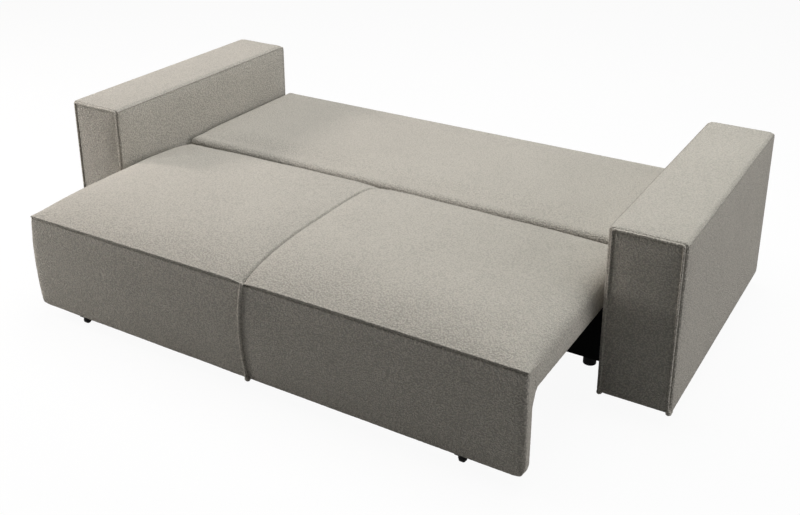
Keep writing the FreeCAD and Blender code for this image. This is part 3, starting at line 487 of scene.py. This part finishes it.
# One arm: a padded box with rounded edges, its front face sunk next to the welt, the welt round that face
# and the seams along its top edges.
def makeArm(side):
    word = "Right" if side > 0 else "Left"
    x0, x1 = innerHalf, innerHalf + arm["wide"]
    y0, y1 = armsFront, armsFront + arm["deep"]
    z0, z1 = arm["low"], arm["top"]
    close = np.array(arm["closeLines"])         # extra grid lines beside the welt
    xs = gridLine(x0, x1, arm["grid"], arm["edge"], arm["edge"], 4, np.concatenate([x0 + close, x1 - close]))
    ys = gridLine(y0, y1, arm["grid"], arm["faceEdge"], arm["rearBend"], 4)
    zs = gridLine(z0, z1, arm["grid"], arm["faceEdge"], arm["rearBend"], 4, z1 - np.append(close, arm["topLines"]))
    points, quads = boxShell(xs, ys, zs)
    flat = points.copy()
    roundEdge(points, 1, y1, 1, 2, z1, 1, arm["rearBend"])
    roundEdge(points, 1, y0, -1, 2, z1, 1, arm["faceEdge"])
    roundEdge(points, 1, y0, -1, 2, z0, -1, arm["faceEdge"])
    for edge, sign in ((x0, -1), (x1, 1)):
        roundEdge(points, 0, edge, sign, 1, y0, -1, arm["faceEdge"])
        roundEdge(points, 0, edge, sign, 1, y1, 1, arm["rearEdge"])
        roundEdge(points, 0, edge, sign, 2, z1, 1, arm["edge"])
        roundEdge(points, 0, edge, sign, 2, z0, -1, arm["faceEdge"])
    # how far each point is from the nearest edge of its side: the middle one of its three distances
    x, y, z = flat.T
    toSide = np.minimum(x - x0, x1 - x)
    toEdge = np.sort(np.stack([toSide, np.minimum(y - y0, y1 - y), np.minimum(z - z0, z1 - z)], 1), axis=1)[:, 1]
    inner = np.clip(toEdge / arm["crownReach"], 0, 1)
    if side < 0:
        points, quads = mirrored(points, quads)
    piece = meshPiece("arm" + word + "Cover", points, quads)
    normals = readNormals(piece.data)
    uneven = waves(points, arm["unevenLength"], 11 + side) * arm["uneven"]
    swellBy = arm["crown"] * np.sin(inner * math.pi / 2) + uneven * inner
    bottom = z < z0 + arm["flatFoot"]
    swellBy = np.where(bottom, 0, swellBy)
    points = points + normals * swellBy[:, None]
    # the front face sinks on both sides of the upright welts, and below the top one
    bySide = (toSide - arm["weltIn"]) / arm["sinkReach"]
    byTop = (z1 - z - arm["weltTop"] - arm["topSinkReach"]) / arm["topSinkReach"]
    outside = z1 - z < arm["weltTop"]
    sunk = np.where(outside, 0, np.maximum(np.exp(-bySide ** 2), np.exp(-byTop ** 2)))
    points[:, 1] += np.where(y < y0 + 0.001, arm["sink"] * sunk, 0)
    writePoints(piece.data, points)
    byEdge = np.clip(0.6 - toEdge / arm["holdReach"], 0, 1)
    held = np.where((toEdge < arm["edge"] + 0.002) | bottom, 1.0, byEdge)
    swell(piece, held, arm["cap"])
    refine(piece, arm["fuzz"], 21 + side)
    dress(piece, "base", boucle, "boucle", f"arm_{word.lower()}_cover", f"arm_{word.lower()}_foam",
          f"arm_{word.lower()}_welt")
    # the welt, its two ends thicker, a little below the arm and turned back under it
    weltX = np.array([x0 + arm["weltIn"], x1 - arm["weltIn"]])
    footX = weltX + np.array([-1, 1]) * arm["footOut"]
    front, foot, knee = y0 - arm["weltOut"], z0 + arm["weltFoot"], z0 + arm["footHeight"]
    turn = arm["footTurn"]
    rise = [(0, front + arm["footBack"], foot + turn), (0, front + turn, foot), (1, front, knee),
            (1, front, z1 - arm["weltTop"])]
    corners = [(side * (weltX if onFace else footX)[end], depth, height)
               for end, leg in ((0, rise), (1, rise[::-1])) for onFace, depth, height in leg]
    path = bentPath(corners, arm["weltBend"], arm["weltStep"])
    fromEnd = np.minimum(np.arange(len(path)), np.arange(len(path))[::-1]) * arm["weltStep"]
    thick = arm["weltRadius"] + arm["footRadius"] * np.exp(-(fromEnd / arm["footLength"]) ** 4)
    welt = tube("arm" + word + "Welt", path, thick, 14)
    roughen(welt, arm["fuzz"], 25 + side)
    # the welt's lighter pile is a painted highlight
    dress(welt, "base", boucleHighlight, "boucle")
    # the seams that run back along both top edges, a little down the sides, and down the rear
    start, stop, high = y0 + arm["faceEdge"] + arm["seamStart"], y1 - arm["rearEdge"], z1 - arm["seamDrop"]
    for place, x in (("Inner", x0 + arm["seamIn"]), ("Outer", x1 - arm["seamIn"])):
        run = [(side * x, start, high), (side * x, stop, high), (side * x, stop, z0 + arm["seamFoot"])]
        path = bentPath(run, arm["seamBend"], arm["seamStep"])
        # these seams' darker pile is painted shade
        dress(tube("arm" + word + place + "Seam", path, arm["seamRadius"], 8, 2), "base", boucleShadeLine, "boucle")


for side in (1, -1):
    makeArm(side)
print("arms ready")

seamX = -0.010                              # the middle seam lies a little left of the middle
seat = dict(half=0.966, front=-0.485, rear=0.343, low=0.2990, seamGap=0.0010, grid=0.0115, sideRound=0.045,
            frontRound=0.0025, rearRound=0.015, lowRound=0.008, rearLowRound=0.040, planRound=0.014,
            frontPlanRound=0.010, notchBack=-0.4370, notchTop=0.3782, notchStep=0.0012, seamDip=0.0062,
            seamReach=0.045, seamRise=0.15, seamRound=0.010, dimple=0.005, dimpleReach=0.030, uneven=0.0016,
            unevenLength=0.26, finer=0.0005, finerLength=0.10, calmEdge=0.02, calmReach=0.1, gridFront=0.008,
            levelStep=0.09, holdNotch=0.03, holdReach=0.035, holdFront=0.02, cordRadius=0.0024, cordDepth=0.0040,
            cordTurn=0.030, cordBack=0.024, cap=0.006, fuzz=0.0004)
# the middle of each half, from the front edge to the rear edge: distance from the arms' front, height
crownLine = np.array([(-0.485, 0.3850), (-0.470, 0.3915), (-0.440, 0.4035), (-0.400, 0.4160), (-0.333, 0.4300),
                      (-0.273, 0.4370), (-0.195, 0.4425), (-0.100, 0.4440), (0.000, 0.4445), (0.098, 0.4450),
                      (0.200, 0.4400), (0.260, 0.4310), (0.305, 0.4160), (0.343, 0.3990)])
# the same along the outer side, before its edge is rounded
sideLine = np.array([(-0.485, 0.3845), (-0.465, 0.3890), (-0.440, 0.3945), (-0.400, 0.3990), (-0.372, 0.4020),
                     (-0.334, 0.4070), (-0.272, 0.4100), (-0.100, 0.4140), (0.100, 0.4145), (0.260, 0.4080),
                     (0.343, 0.3920)])
# how much of the fall from the middle to the outer side is reached at these distances from the middle
fallLine = np.array([(0, 0), (0.40, 0), (0.70, 0.22), (0.85, 0.55), (0.93, 0.86), (0.966, 1.0)])
# how round the outer edge is: tight at the front corner and soft a hand's width behind it
sideRoundLine = np.array([(-0.485, 0.008), (-0.462, 0.018), (-0.420, 0.030), (-0.330, seat["sideRound"])])


# Height of a line at y: its points joined and then smoothed by a moving mean 4 cm long.
def lineHeight(line, y):
    fine = np.arange(-0.60, 0.46, 0.004)
    raw = np.interp(fine, line[:, 0], line[:, 1])
    soft = np.convolve(np.pad(raw, 5, mode="edge"), np.ones(11) / 11, mode="valid")
    return np.interp(y, fine, soft)


# Height of the seat's top at x from the middle and y: the crown, less its fall towards the outer side, less a
# valley along the middle seam that fades with distance, less a dimple where the seam meets the front edge.
def seatTop(x, y):
    fall = np.interp(x, fallLine[:, 0], fallLine[:, 1])
    crown = lineHeight(crownLine, y)
    fromFront = np.clip((y - seat["front"]) / seat["seamRise"], 0, 1)
    rise = fromFront * fromFront * (3 - 2 * fromFront)
    valley = seat["seamDip"] * (0.3 + 0.7 * rise) * np.exp(-(np.abs(x) / seat["seamReach"]) ** 1.3)
    reach = seat["dimpleReach"]
    dimple = seat["dimple"] * np.exp(-(x / reach) ** 2 - ((y - seat["front"]) / reach) ** 2)
    return crown - (crown - lineHeight(sideLine, y)) * fall - valley - dimple


# One half of the seat slab: a box whose top follows seatTop, with its edges rounded, thinner at the front,
# where it lies on the panel.
def makeSeatHalf(side):
    word = "Right" if side > 0 else "Left"
    x0, x1 = seat["seamGap"] + side * seamX, seat["half"]
    y0, y1 = seat["front"], seat["rear"]
    xs = gridLine(x0, x1, seat["grid"], seat["seamRound"], seat["sideRound"], 4)
    ys = gridLine(y0, y1, seat["grid"], seat["gridFront"], seat["rearRound"], 4,
                  (seat["notchBack"] - seat["notchStep"], seat["notchBack"] + seat["notchStep"]))
    zs = gridLine(0, 1, seat["levelStep"])
    points, quads = boxShell(xs, ys, zs)
    x, y, level = points[:, 0].copy(), points[:, 1].copy(), points[:, 2].copy()
    top = seatTop(x - side * seamX, y)
    onPanel = y < seat["notchBack"]
    low = np.where(onPanel, seat["notchTop"], seat["low"])
    points[:, 2] = low + (top - low) * level
    sideRound = np.interp(y, sideRoundLine[:, 0], sideRoundLine[:, 1])
    roundEdge(points, 1, y1, 1, 2, top, 1, seat["rearRound"])
    roundEdge(points, 1, y1, 1, 2, low, -1, np.full(len(x), seat["rearLowRound"]))
    roundEdge(points, 0, x1, 1, 2, top, 1, sideRound)
    roundEdge(points, 0, x1, 1, 2, low, -1, np.where(onPanel, 0.001, seat["lowRound"]))
    roundEdge(points, 0, x1, 1, 1, y1, 1, seat["planRound"])
    roundEdge(points, 0, x1, 1, 1, y0, -1, seat["frontPlanRound"])
    roundEdge(points, 1, y0, -1, 2, top, 1, seat["frontRound"])
    roundEdge(points, 1, y0, -1, 2, low, -1, np.where(onPanel, 0.003, 0.001))
    roundEdge(points, 0, x0, -1, 2, top, 1, seat["seamRound"])
    points[:, 1] += armsFront
    if side < 0:
        points, quads = mirrored(points, quads)
    piece = meshPiece("seatPad" + word, points, quads)
    uneven = waves(points, seat["unevenLength"], 31 + side) * seat["uneven"]
    uneven = uneven + waves(points, seat["finerLength"], 41 + side) * seat["finer"]
    onTop = (level > 0.999) & (y > y0 + seat["calmEdge"]) & (x > x0 + seat["calmEdge"])
    points[:, 2] += np.where(onTop, uneven * np.clip((y - y0) / seat["calmReach"], 0, 1), 0)
    writePoints(piece.data, points)
    # held along the underside, at the seams and where the slab lies on the panel
    onFoot = (y < seat["notchBack"] + seat["holdNotch"]) & (level < 0.5)
    held = np.where((level < 0.02) | (x < x0 + 0.001) | onFoot, 1.0, 0.0)
    held = np.maximum(held, np.clip(1 - (y - y0) / seat["holdFront"], 0, 1))
    held = np.maximum(held, np.clip(0.9 - (x - x0) / seat["holdReach"], 0, 1))
    swell(piece, held, seat["cap"])
    refine(piece, seat["fuzz"], 51 + side)
    dress(piece, "seat", boucle, "boucle", f"seat_cover_{word.lower()}", f"seat_foam_{word.lower()}")


for side in (1, -1):
    makeSeatHalf(side)

# the sewn seam in the valley between the halves, down over the rear edge
runs = np.linspace(seat["front"] + 0.003, seat["rear"] - seat["cordTurn"], 90)
heights = seatTop(np.zeros(len(runs)), runs) - seat["cordDepth"]
turn = np.linspace(0.2, 1.5, 8)             # radians, from nearly level to nearly upright
runs = np.concatenate([runs, runs[-1] + seat["cordBack"] * np.sin(turn)])
heights = np.concatenate([heights, heights[-1] - seat["cordTurn"] * (1 - np.cos(turn))])
middlePath = np.stack([np.full(len(runs), seamX), runs + armsFront, heights], 1)
middleSeam = tube("seatMiddleSeam", middlePath, seat["cordRadius"], 10)
# its darker pile is painted shade in the valley
dress(middleSeam, "seat", boucleShadeSeam, "boucle")
print("seat ready")

panel = dict(half=0.966, front=-0.485, thick=0.053, low=0.030, top=0.3790, seamGap=0.0010, grid=0.0085,
             faceEdge=0.014, topEdge=0.0075, footEdge=0.010, rearFootEdge=0.014, seamEdge=0.006, sideRound=0.025,
             tightRound=0.002, lowCorner=0.038, midDraw=0.004, lowDraw=0.008, crown=0.013, crownBase=0.72,
             crownHalf=0.28, crownPower=2.4, crownMiddle=0.50, crownWidth=0.20, sideBulge=0.003, sideReach=0.08,
             lip=0.0012, lipReach=0.012, roundReach=0.045, seamBow=0.008, bowReach=0.15, joint=0.2990,
             fillet=0.016, uneven=0.0014, unevenLength=0.20, flatRim=0.05, holdTop=0.008, holdRim=0.004,
             holdSide=0.006, cap=0.003, fuzz=0.0004, depthStep=0.16,
             ridgeLow=0.0340, ridgeHigh=0.3810, ridgeOut=0.0010, ridgeSwell=0.0020, ridgeRadius=0.0062,
             ridgeFoot=0.0035, ridgeFootReach=0.016)
# how much of the crown shows at these shares of the panel's height
crownShares = np.array([(0, 0.30), (0.08, 0.48), (0.25, 0.80), (0.5, 1.0), (0.75, 0.80), (0.92, 0.36), (1, 0.0)])


# Share of the panel's crown at height z: none at the top edge, most at mid height, little at the foot.
def crownShare(z):
    rise = (z - panel["low"]) / (panel["top"] - panel["low"])
    return np.interp(rise, crownShares[:, 0], crownShares[:, 1])


# How far the middle seam bows to the left at height z: a half sine from the foot to the top edge.
def seamShift(z):
    return panel["seamBow"] * np.sin(math.pi * np.clip((z - panel["low"]) / (panel["top"] - panel["low"]), 0, 1))


# Where the panel's face stands: drawn back towards its foot, and crowned. The crown is its share at that
# height times the sum of a base, a hump over each half and a bell about the middle seam.
def panelFront(x, z):
    rise = (z - panel["low"]) / (panel["top"] - panel["low"])
    draw = np.interp(rise, [0, 0.5, 1], [panel["lowDraw"], panel["midDraw"], 0.0])
    across = np.clip(np.abs(x - seamX) / panel["half"], 0, 1)
    hump = panel["crownHalf"] * (1 - np.abs(2 * across - 1) ** panel["crownPower"])
    bell = panel["crownMiddle"] * np.exp(-((x - seamX) / panel["crownWidth"]) ** 2)
    bow = panel["crownBase"] + hump + bell
    return panel["front"] + draw - panel["crown"] * crownShare(z) * bow


# One half of the front panel: a box whose face follows panelFront, with a round lower outer corner, and
# whose back runs into the slab's underside in a hollow curve.
def makePanelHalf(side):
    word = "Right" if side > 0 else "Left"
    x0, x1 = panel["seamGap"] + side * seamX, panel["half"]
    z0, z1 = panel["low"], panel["top"]
    back = panel["front"] + panel["thick"]
    joint, fillet = panel["joint"], panel["fillet"]
    xs = gridLine(x0, x1, panel["grid"], panel["seamEdge"], panel["lowCorner"], 5)
    zs = gridLine(z0, z1, panel["grid"], panel["lowCorner"], panel["seamEdge"], 4,
                  joint + fillet * np.array([-1.0, -0.7, -0.4, -0.2, -0.06, 0.06]))
    ys = gridLine(0, 1, panel["depthStep"], extra=(0.06, 0.12, 0.20, 0.68, 0.76, 0.84, 0.92))
    points, quads = boxShell(xs, ys, zs)
    x, depth, z = points[:, 0].copy(), points[:, 1].copy(), points[:, 2].copy()
    roundEdge(points, 0, x1, 1, 2, z0, -1, panel["lowCorner"])
    front = panelFront(side * points[:, 0], points[:, 2])
    under = np.clip(joint - points[:, 2], 0, fillet)
    hollow = fillet - np.sqrt(fillet ** 2 - (fillet - under) ** 2)
    rear = back + hollow
    points[:, 1] = front + (rear - front) * depth
    # the rear corner is round below the slab, and the side draws in a little beside it
    upper = np.clip((points[:, 2] - joint + panel["roundReach"]) / panel["roundReach"], 0, 1)
    rearRound = panel["sideRound"] * (1 - upper) + panel["tightRound"]
    lip = -panel["lip"] * np.clip((points[:, 2] - joint + panel["lipReach"]) / panel["lipReach"], 0, 1)
    bulge = panel["sideBulge"] * np.sin(math.pi * np.clip((z - z0) / (z1 - z0), 0, 1)) * (1 - depth)
    toSide = np.clip((points[:, 0] - (x1 - panel["sideReach"])) / panel["sideReach"], 0, 1) ** 2
    roundEdge(points, 1, front, -1, 0, np.full(len(x), x1), 1, panel["faceEdge"])
    roundEdge(points, 1, rear, 1, 0, np.full(len(x), x1), 1, rearRound)
    roundEdge(points, 1, front, -1, 2, np.full(len(x), z1), 1, panel["topEdge"])
    roundEdge(points, 1, front, -1, 2, np.full(len(x), z0), -1, panel["footEdge"])
    roundEdge(points, 1, rear, 1, 2, np.full(len(x), z0), -1, panel["rearFootEdge"])
    roundEdge(points, 1, front, -1, 0, np.full(len(x), x0), -1, panel["seamEdge"])
    bow = side * seamShift(points[:, 2]) * np.exp(-(points[:, 0] - x0) / panel["bowReach"])
    points[:, 0] += (lip + bulge) * toSide - bow
    points[:, 1] += armsFront
    if side < 0:
        points, quads = mirrored(points, quads)
    piece = meshPiece("frontPanel" + word, points, quads)
    uneven = waves(points, panel["unevenLength"], 61 + side) * panel["uneven"]
    rim = panel["flatRim"]
    face = np.clip((0.5 - depth) * 4, 0, 1) * np.clip((z1 - z) / rim, 0, 1) * np.clip((x1 - x) / rim, 0, 1)
    points[:, 1] += uneven * face
    writePoints(piece.data, points)
    onRim = (z > z1 - panel["holdTop"]) | (x < x0 + panel["holdRim"]) | (z < z0 + panel["holdRim"])
    held = np.where((depth > 0.95) | onRim, 1.0, 0.0)
    held = np.maximum(held, np.where(x > x1 - panel["holdSide"], 0.9, 0.0))
    swell(piece, held, panel["cap"])
    refine(piece, panel["fuzz"], 71 + side)
    dress(piece, "seat", boucle, "boucle", f"panel_cover_{word.lower()}", f"panel_foam_{word.lower()}")


for side in (1, -1):
    makePanelHalf(side)

# the raised seam down the middle, which stands out most at its mid height and ends below the panel's foot
heights = np.linspace(panel["ridgeLow"], panel["ridgeHigh"], 80)
share = np.clip((heights - heights[0]) / (heights[-1] - heights[0]), 0, 1)
forward = panel["ridgeOut"] + panel["ridgeSwell"] * np.sin(math.pi * share) ** 0.7
ridgePath = np.stack([seamX - seamShift(heights), armsFront + panelFront(seamX, heights) - forward, heights], 1)
footShare = np.exp(-((heights - heights[0]) / panel["ridgeFootReach"]) ** 2)
ridgeThick = panel["ridgeRadius"] + panel["ridgeFoot"] * footShare
ridge = tube("panelMiddleRidge", ridgePath, ridgeThick, 18)
roughen(ridge, panel["fuzz"], 77)
# the ridge's lighter pile is a painted highlight
dress(ridge, "seat", boucleHighlight, "boucle", "panel_seam_welt")

# the seam between slab and panel, along the front and round both corners
flange = dict(radius=0.0018, height=0.3782, inside=0.0050, back=0.030, bend=0.006, step=0.006)
cornerX = seat["half"] - flange["inside"]
frontY = armsFront + seat["front"] + flange["inside"]
flangeCorners = [(-cornerX, frontY + flange["back"], flange["height"]), (-cornerX, frontY, flange["height"]),
                 (cornerX, frontY, flange["height"]), (cornerX, frontY + flange["back"], flange["height"])]
flangePath = bentPath(flangeCorners, flange["bend"], flange["step"])
flangeSeam = tube("seatFrontFlange", flangePath, flange["radius"], 12)
# its darker pile is painted shade in the groove
dress(flangeSeam, "seat", boucleShadeSeam, "boucle")

carrier = dict(thick=0.002, earHalf=0.0062, axle=0.013, earIn=0.0105, corner=0.006, arcParts=12)


# A flat outline in two of the three directions, drawn out along the third one, a, from low to high.
def drawnOut(outline, a, low, high):
    count = len(outline)
    points = np.zeros((count * 2, 3))
    points[:, [i for i in range(3) if i != a]] = np.concatenate([outline, outline])
    points[:, a] = np.repeat([low, high], count)
    first = np.arange(count)
    after = np.roll(first, -1)
    return points, np.stack([first, after, after + count, first + count], 1)


# The carrier of one front roller: a plate with round corners under the panel, and two ears that end in a
# half round about the axle.
def makeCarrier(word):
    box = np.array(nodes["front_bracket_" + word].bound_box)
    low, high = box.min(axis=0), box.max(axis=0)
    middle = (low + high) / 2
    turn = np.linspace(0, math.pi / 2, 5)
    corner, r = [], carrier["corner"]
    for part, (sx, sy) in enumerate(((1, 1), (-1, 1), (-1, -1), (1, -1))):
        angle = turn + part * math.pi / 2
        at = middle[:2] + np.array([sx, sy]) * ((high - low)[:2] / 2 - r)
        corner.append(at + r * np.stack([np.cos(angle), np.sin(angle)], 1))
    parts = [drawnOut(np.concatenate(corner), 2, high[2] - carrier["thick"], high[2])]
    arc = np.linspace(math.pi, 2 * math.pi, carrier["arcParts"])
    half, top = carrier["earHalf"], high[2] - carrier["thick"] / 2
    ear = np.concatenate([[(middle[1] + half, top), (middle[1] - half, top)],
                          np.stack([middle[1] + half * np.cos(arc), carrier["axle"] + half * np.sin(arc)], 1)])
    for side in (1, -1):
        near = middle[0] + side * carrier["earIn"]
        far = near + side * carrier["thick"]
        parts.append(drawnOut(ear, 0, min(near, far), max(near, far)))
    starts = np.cumsum([0] + [len(points) for points, quads in parts])
    piece = meshPiece("rollerCarrier" + word.title(), np.concatenate([points for points, quads in parts]),
                      np.concatenate([quads + start for (points, quads), start in zip(parts, starts)]))
    closeEnds(piece)
    piece.data.shade_flat()
    dress(piece, "seat", blackSteel, slots["front_bracket_" + word], "front_bracket_" + word)


roller = dict(shoulder=0.0055, bore=0.0031, around=36, steps=7)


# One front roller: a round-shouldered outline, with its bore, turned about the axle.
def makeRoller(word):
    name = "front_roller_" + word
    box = np.array(nodes[name].bound_box)
    low, high = box.min(axis=0), box.max(axis=0)
    middle, half, wide = (low + high) / 2, (high[0] - low[0]) / 2, (high[2] - low[2]) / 2
    turn = np.linspace(0, math.pi / 2, roller["steps"])
    r = roller["shoulder"]
    bend = np.stack([half - r + r * np.cos(turn), wide - r + r * np.sin(turn)], 1)
    bore = np.array([(-half, roller["bore"]), (half, roller["bore"])])
    along, out = np.concatenate([bend, bend[::-1] * (-1, 1), bore]).T
    angle = np.arange(roller["around"])[:, None] * 2 * math.pi / roller["around"]
    ring = np.stack([along + 0 * angle, out * np.cos(angle), out * np.sin(angle)], -1)
    points = middle + ring.reshape(-1, 3)
    rows = np.arange(len(points)).reshape(roller["around"], -1)
    after, down = np.roll(rows, -1, axis=1), np.roll(rows, -1, axis=0)
    quads = np.stack([rows, after, np.roll(down, -1, axis=1), down], -1).reshape(-1, 4)
    piece = meshPiece("roller" + word.title(), points, quads)
    closeEnds(piece)
    dress(piece, name, cadLooks[slots[name]], slots[name], name)


for word in ("right", "left"):
    makeCarrier(word)
    makeRoller(word)
print("front panel ready")

rest = dict(half=0.966, front=0.363, rear=1.065, low=0.2417, top=0.3965, frontRound=0.028, lowRound=0.028,
            rearRound=0.016, rearLowRound=0.012, sideRound=0.014, sideLowRound=0.006, planRound=0.008,
            rearPlanRound=0.010, frontRoll=0.006, rollHeight=0.12, rollFlat=0.03, rollReach=0.05, rise=0.0095,
            riseStart=0.02, riseLength=0.16, crown=0.003, crownReach=0.10, uneven=0.0010, unevenLength=0.24,
            grid=0.0135, holdLow=0.03, cap=0.004, fuzz=0.0003)


# The backrest pad: a box with rounded edges, its top crowned and a little uneven, with a low roll along the
# front edge and a smooth rise behind it.
def makeBackPad():
    x0, x1 = -rest["half"], rest["half"]
    y0, y1 = rest["front"] + armsFront, rest["rear"] + armsFront
    z0, z1 = rest["low"], rest["top"]
    xs = gridLine(x0, x1, rest["grid"], rest["sideRound"], rest["sideRound"], 3)
    ys = gridLine(y0, y1, rest["grid"], rest["frontRound"], rest["rearRound"], 3)
    zs = gridLine(z0, z1, rest["grid"], rest["lowRound"], rest["frontRound"], 3)
    points, quads = boxShell(xs, ys, zs)
    x, y, z = points.T.copy()
    roundEdge(points, 1, y0, -1, 2, z1, 1, rest["frontRound"])
    roundEdge(points, 1, y0, -1, 2, z0, -1, rest["lowRound"])
    roundEdge(points, 1, y1, 1, 2, z1, 1, rest["rearRound"])
    roundEdge(points, 1, y1, 1, 2, z0, -1, rest["rearLowRound"])
    for edge, sign in ((x0, -1), (x1, 1)):
        roundEdge(points, 0, edge, sign, 2, z1, 1, rest["sideRound"])
        roundEdge(points, 0, edge, sign, 2, z0, -1, rest["sideLowRound"])
        roundEdge(points, 0, edge, sign, 1, y0, -1, rest["planRound"])
        roundEdge(points, 0, edge, sign, 1, y1, 1, rest["rearPlanRound"])
    piece = meshPiece("backrestPad", points, quads)
    inward = np.minimum(np.minimum(x - x0, x1 - x), np.minimum(y - y0, y1 - y))
    reach = np.clip(inward / rest["crownReach"], 0, 1)
    onTop = z > z1 - 1e-5
    uneven = waves(points, rest["unevenLength"], 81) * rest["uneven"]
    fade = np.exp(-np.maximum(y - y0 - rest["rollFlat"], 0) / rest["rollReach"])
    roll = rest["frontRoll"] * np.clip((z - z0) / rest["rollHeight"], 0, 1) * fade
    back = np.clip((y - y0 - rest["riseStart"]) / rest["riseLength"], 0, 1)
    rise = rest["rise"] * back * back * (3 - 2 * back) * np.clip((z - z0) / (z1 - z0), 0, 1)
    crown = (rest["crown"] * np.sin(reach * math.pi / 2) + uneven) * reach
    points[:, 2] += roll + rise + np.where(onTop, crown, 0)
    writePoints(piece.data, points)
    held = np.where(z < z0 + 1e-4, 1.0, np.where(z < z0 + rest["holdLow"], 0.5, 0.0))
    swell(piece, held, rest["cap"])
    refine(piece, rest["fuzz"], 91)
    dress(piece, "backrest", boucle, "boucle", "back_cover", "back_foam")


makeBackPad()
print("backrest ready")

stageLook = dict(size=40.0, paper=0.95, bounce=0.50, cameraWhite=0.94, world=0.02)


# White to the camera with the object's shadow kept, and a dim grey to all other light.
def floorMaterial():
    net = Net(bpy.data.materials.new("floorPaper"))
    rays = net.add("LightPath")
    seen = net.add("BsdfDiffuse", None, {"Color": (stageLook["paper"],) * 3})["BSDF"]
    white = net.add("Emission", None, {"Color": (1, 1, 1), "Strength": 1.0})["Emission"]
    bounce = net.add("BsdfDiffuse", None, {"Color": (stageLook["bounce"],) * 3})["BSDF"]
    shown = net.add("MixShader", None, {"Fac": stageLook["cameraWhite"], 1: seen, 2: white})["Shader"]
    mirror = rays["Is Glossy Ray"].math("MAXIMUM", rays["Is Transmission Ray"])
    out = net.add("MixShader", None, {"Fac": rays["Is Camera Ray"].math("MAXIMUM", mirror), 1: bounce, 2: shown})
    net.add("OutputMaterial", None, {"Surface": out["Shader"]})
    return net.owner


half = stageLook["size"] / 2
floorCorners = np.array([(-half, -half, 0), (half, -half, 0), (half, half, 0), (-half, half, 0)], float)
floor = meshPiece("floor", floorCorners, np.array([(0, 1, 2, 3)]))
floor.data.materials.append(floorMaterial())

# the room: white to the camera and in gloss, dim to all other light
room = Net(bpy.data.worlds.new("studio"))
bpy.context.scene.world = room.owner
rays = room.add("LightPath")
dim = room.add("Background", None, {"Color": (1, 0.985, 0.96), "Strength": stageLook["world"]})["Background"]
bright = room.add("Background", None, {"Color": (1, 1, 1), "Strength": 1.0})["Background"]
clear = rays["Is Camera Ray"].math("MAXIMUM", rays["Is Glossy Ray"])
choose = room.add("MixShader", None, {"Fac": clear, 1: dim, 2: bright})["Shader"]
room.add("OutputWorld", None, {"Surface": choose})

# the lamps, in metres and watts
lampLook = {
    "topBox": dict(place=(-0.3, 0.8, 4.2), aim=(0.0, 0.1, 0.4), size=3.5, power=131.0, colour=(1.0, 0.985, 0.995)),
    "topRightBox": dict(place=(1.8, 0.6, 4.0), aim=(0.3, 0.1, 0.4), size=3.0, power=44.0,
                        colour=(0.905, 1.0, 0.965)),
    "leftLamp": dict(place=(-5.07, -0.76, 2.378), aim=(-0.5, -0.3, 0.4), size=0.6, power=113.0,
                     colour=(1.0, 0.895, 0.870)),
    "frontLamp": dict(place=(-3.0, -1.75, 0.85), aim=(-0.5, -0.7, 0.25), size=0.6, power=35.0,
                      colour=(1.0, 0.985, 0.955)),
    "sideBox": dict(place=(10.0, 1.9, 3.5), aim=(0.6, 0.3, 0.3), size=4.0, power=342.0,
                    colour=(1.0, 0.966, 0.985)),
}
for name, look in lampLook.items():
    data = bpy.data.lights.new(name, "AREA")
    data.size = look["size"]
    data.energy = look["power"]
    data.color = look["colour"]
    lamp = bpy.data.objects.new(name, data)
    lamp.visible_camera = False
    lamp.location = look["place"]
    lamp.rotation_euler = (Vector(look["aim"]) - Vector(look["place"])).to_track_quat("-Z", "Y").to_euler()
    bpy.context.scene.collection.objects.link(lamp)

# the photo's viewing angle, in degrees, and its lens in mm
view = dict(place=(1.908, -3.024, 1.982), tilt=68.84, turn=30.84, lens=47.70, sensor=36.0, shiftY=-0.1441)
camera = bpy.data.cameras.new("photoView")
camera.lens = view["lens"]
camera.sensor_width = view["sensor"]
camera.shift_y = view["shiftY"]
cameraObject = bpy.data.objects.new("photoView", camera)
cameraObject.location = view["place"]
cameraObject.rotation_euler = (math.radians(view["tilt"]), 0, math.radians(view["turn"]))
bpy.context.scene.collection.objects.link(cameraObject)
bpy.context.scene.camera = cameraObject
bpy.context.scene.view_settings.view_transform = "Standard"

print("scene ready")
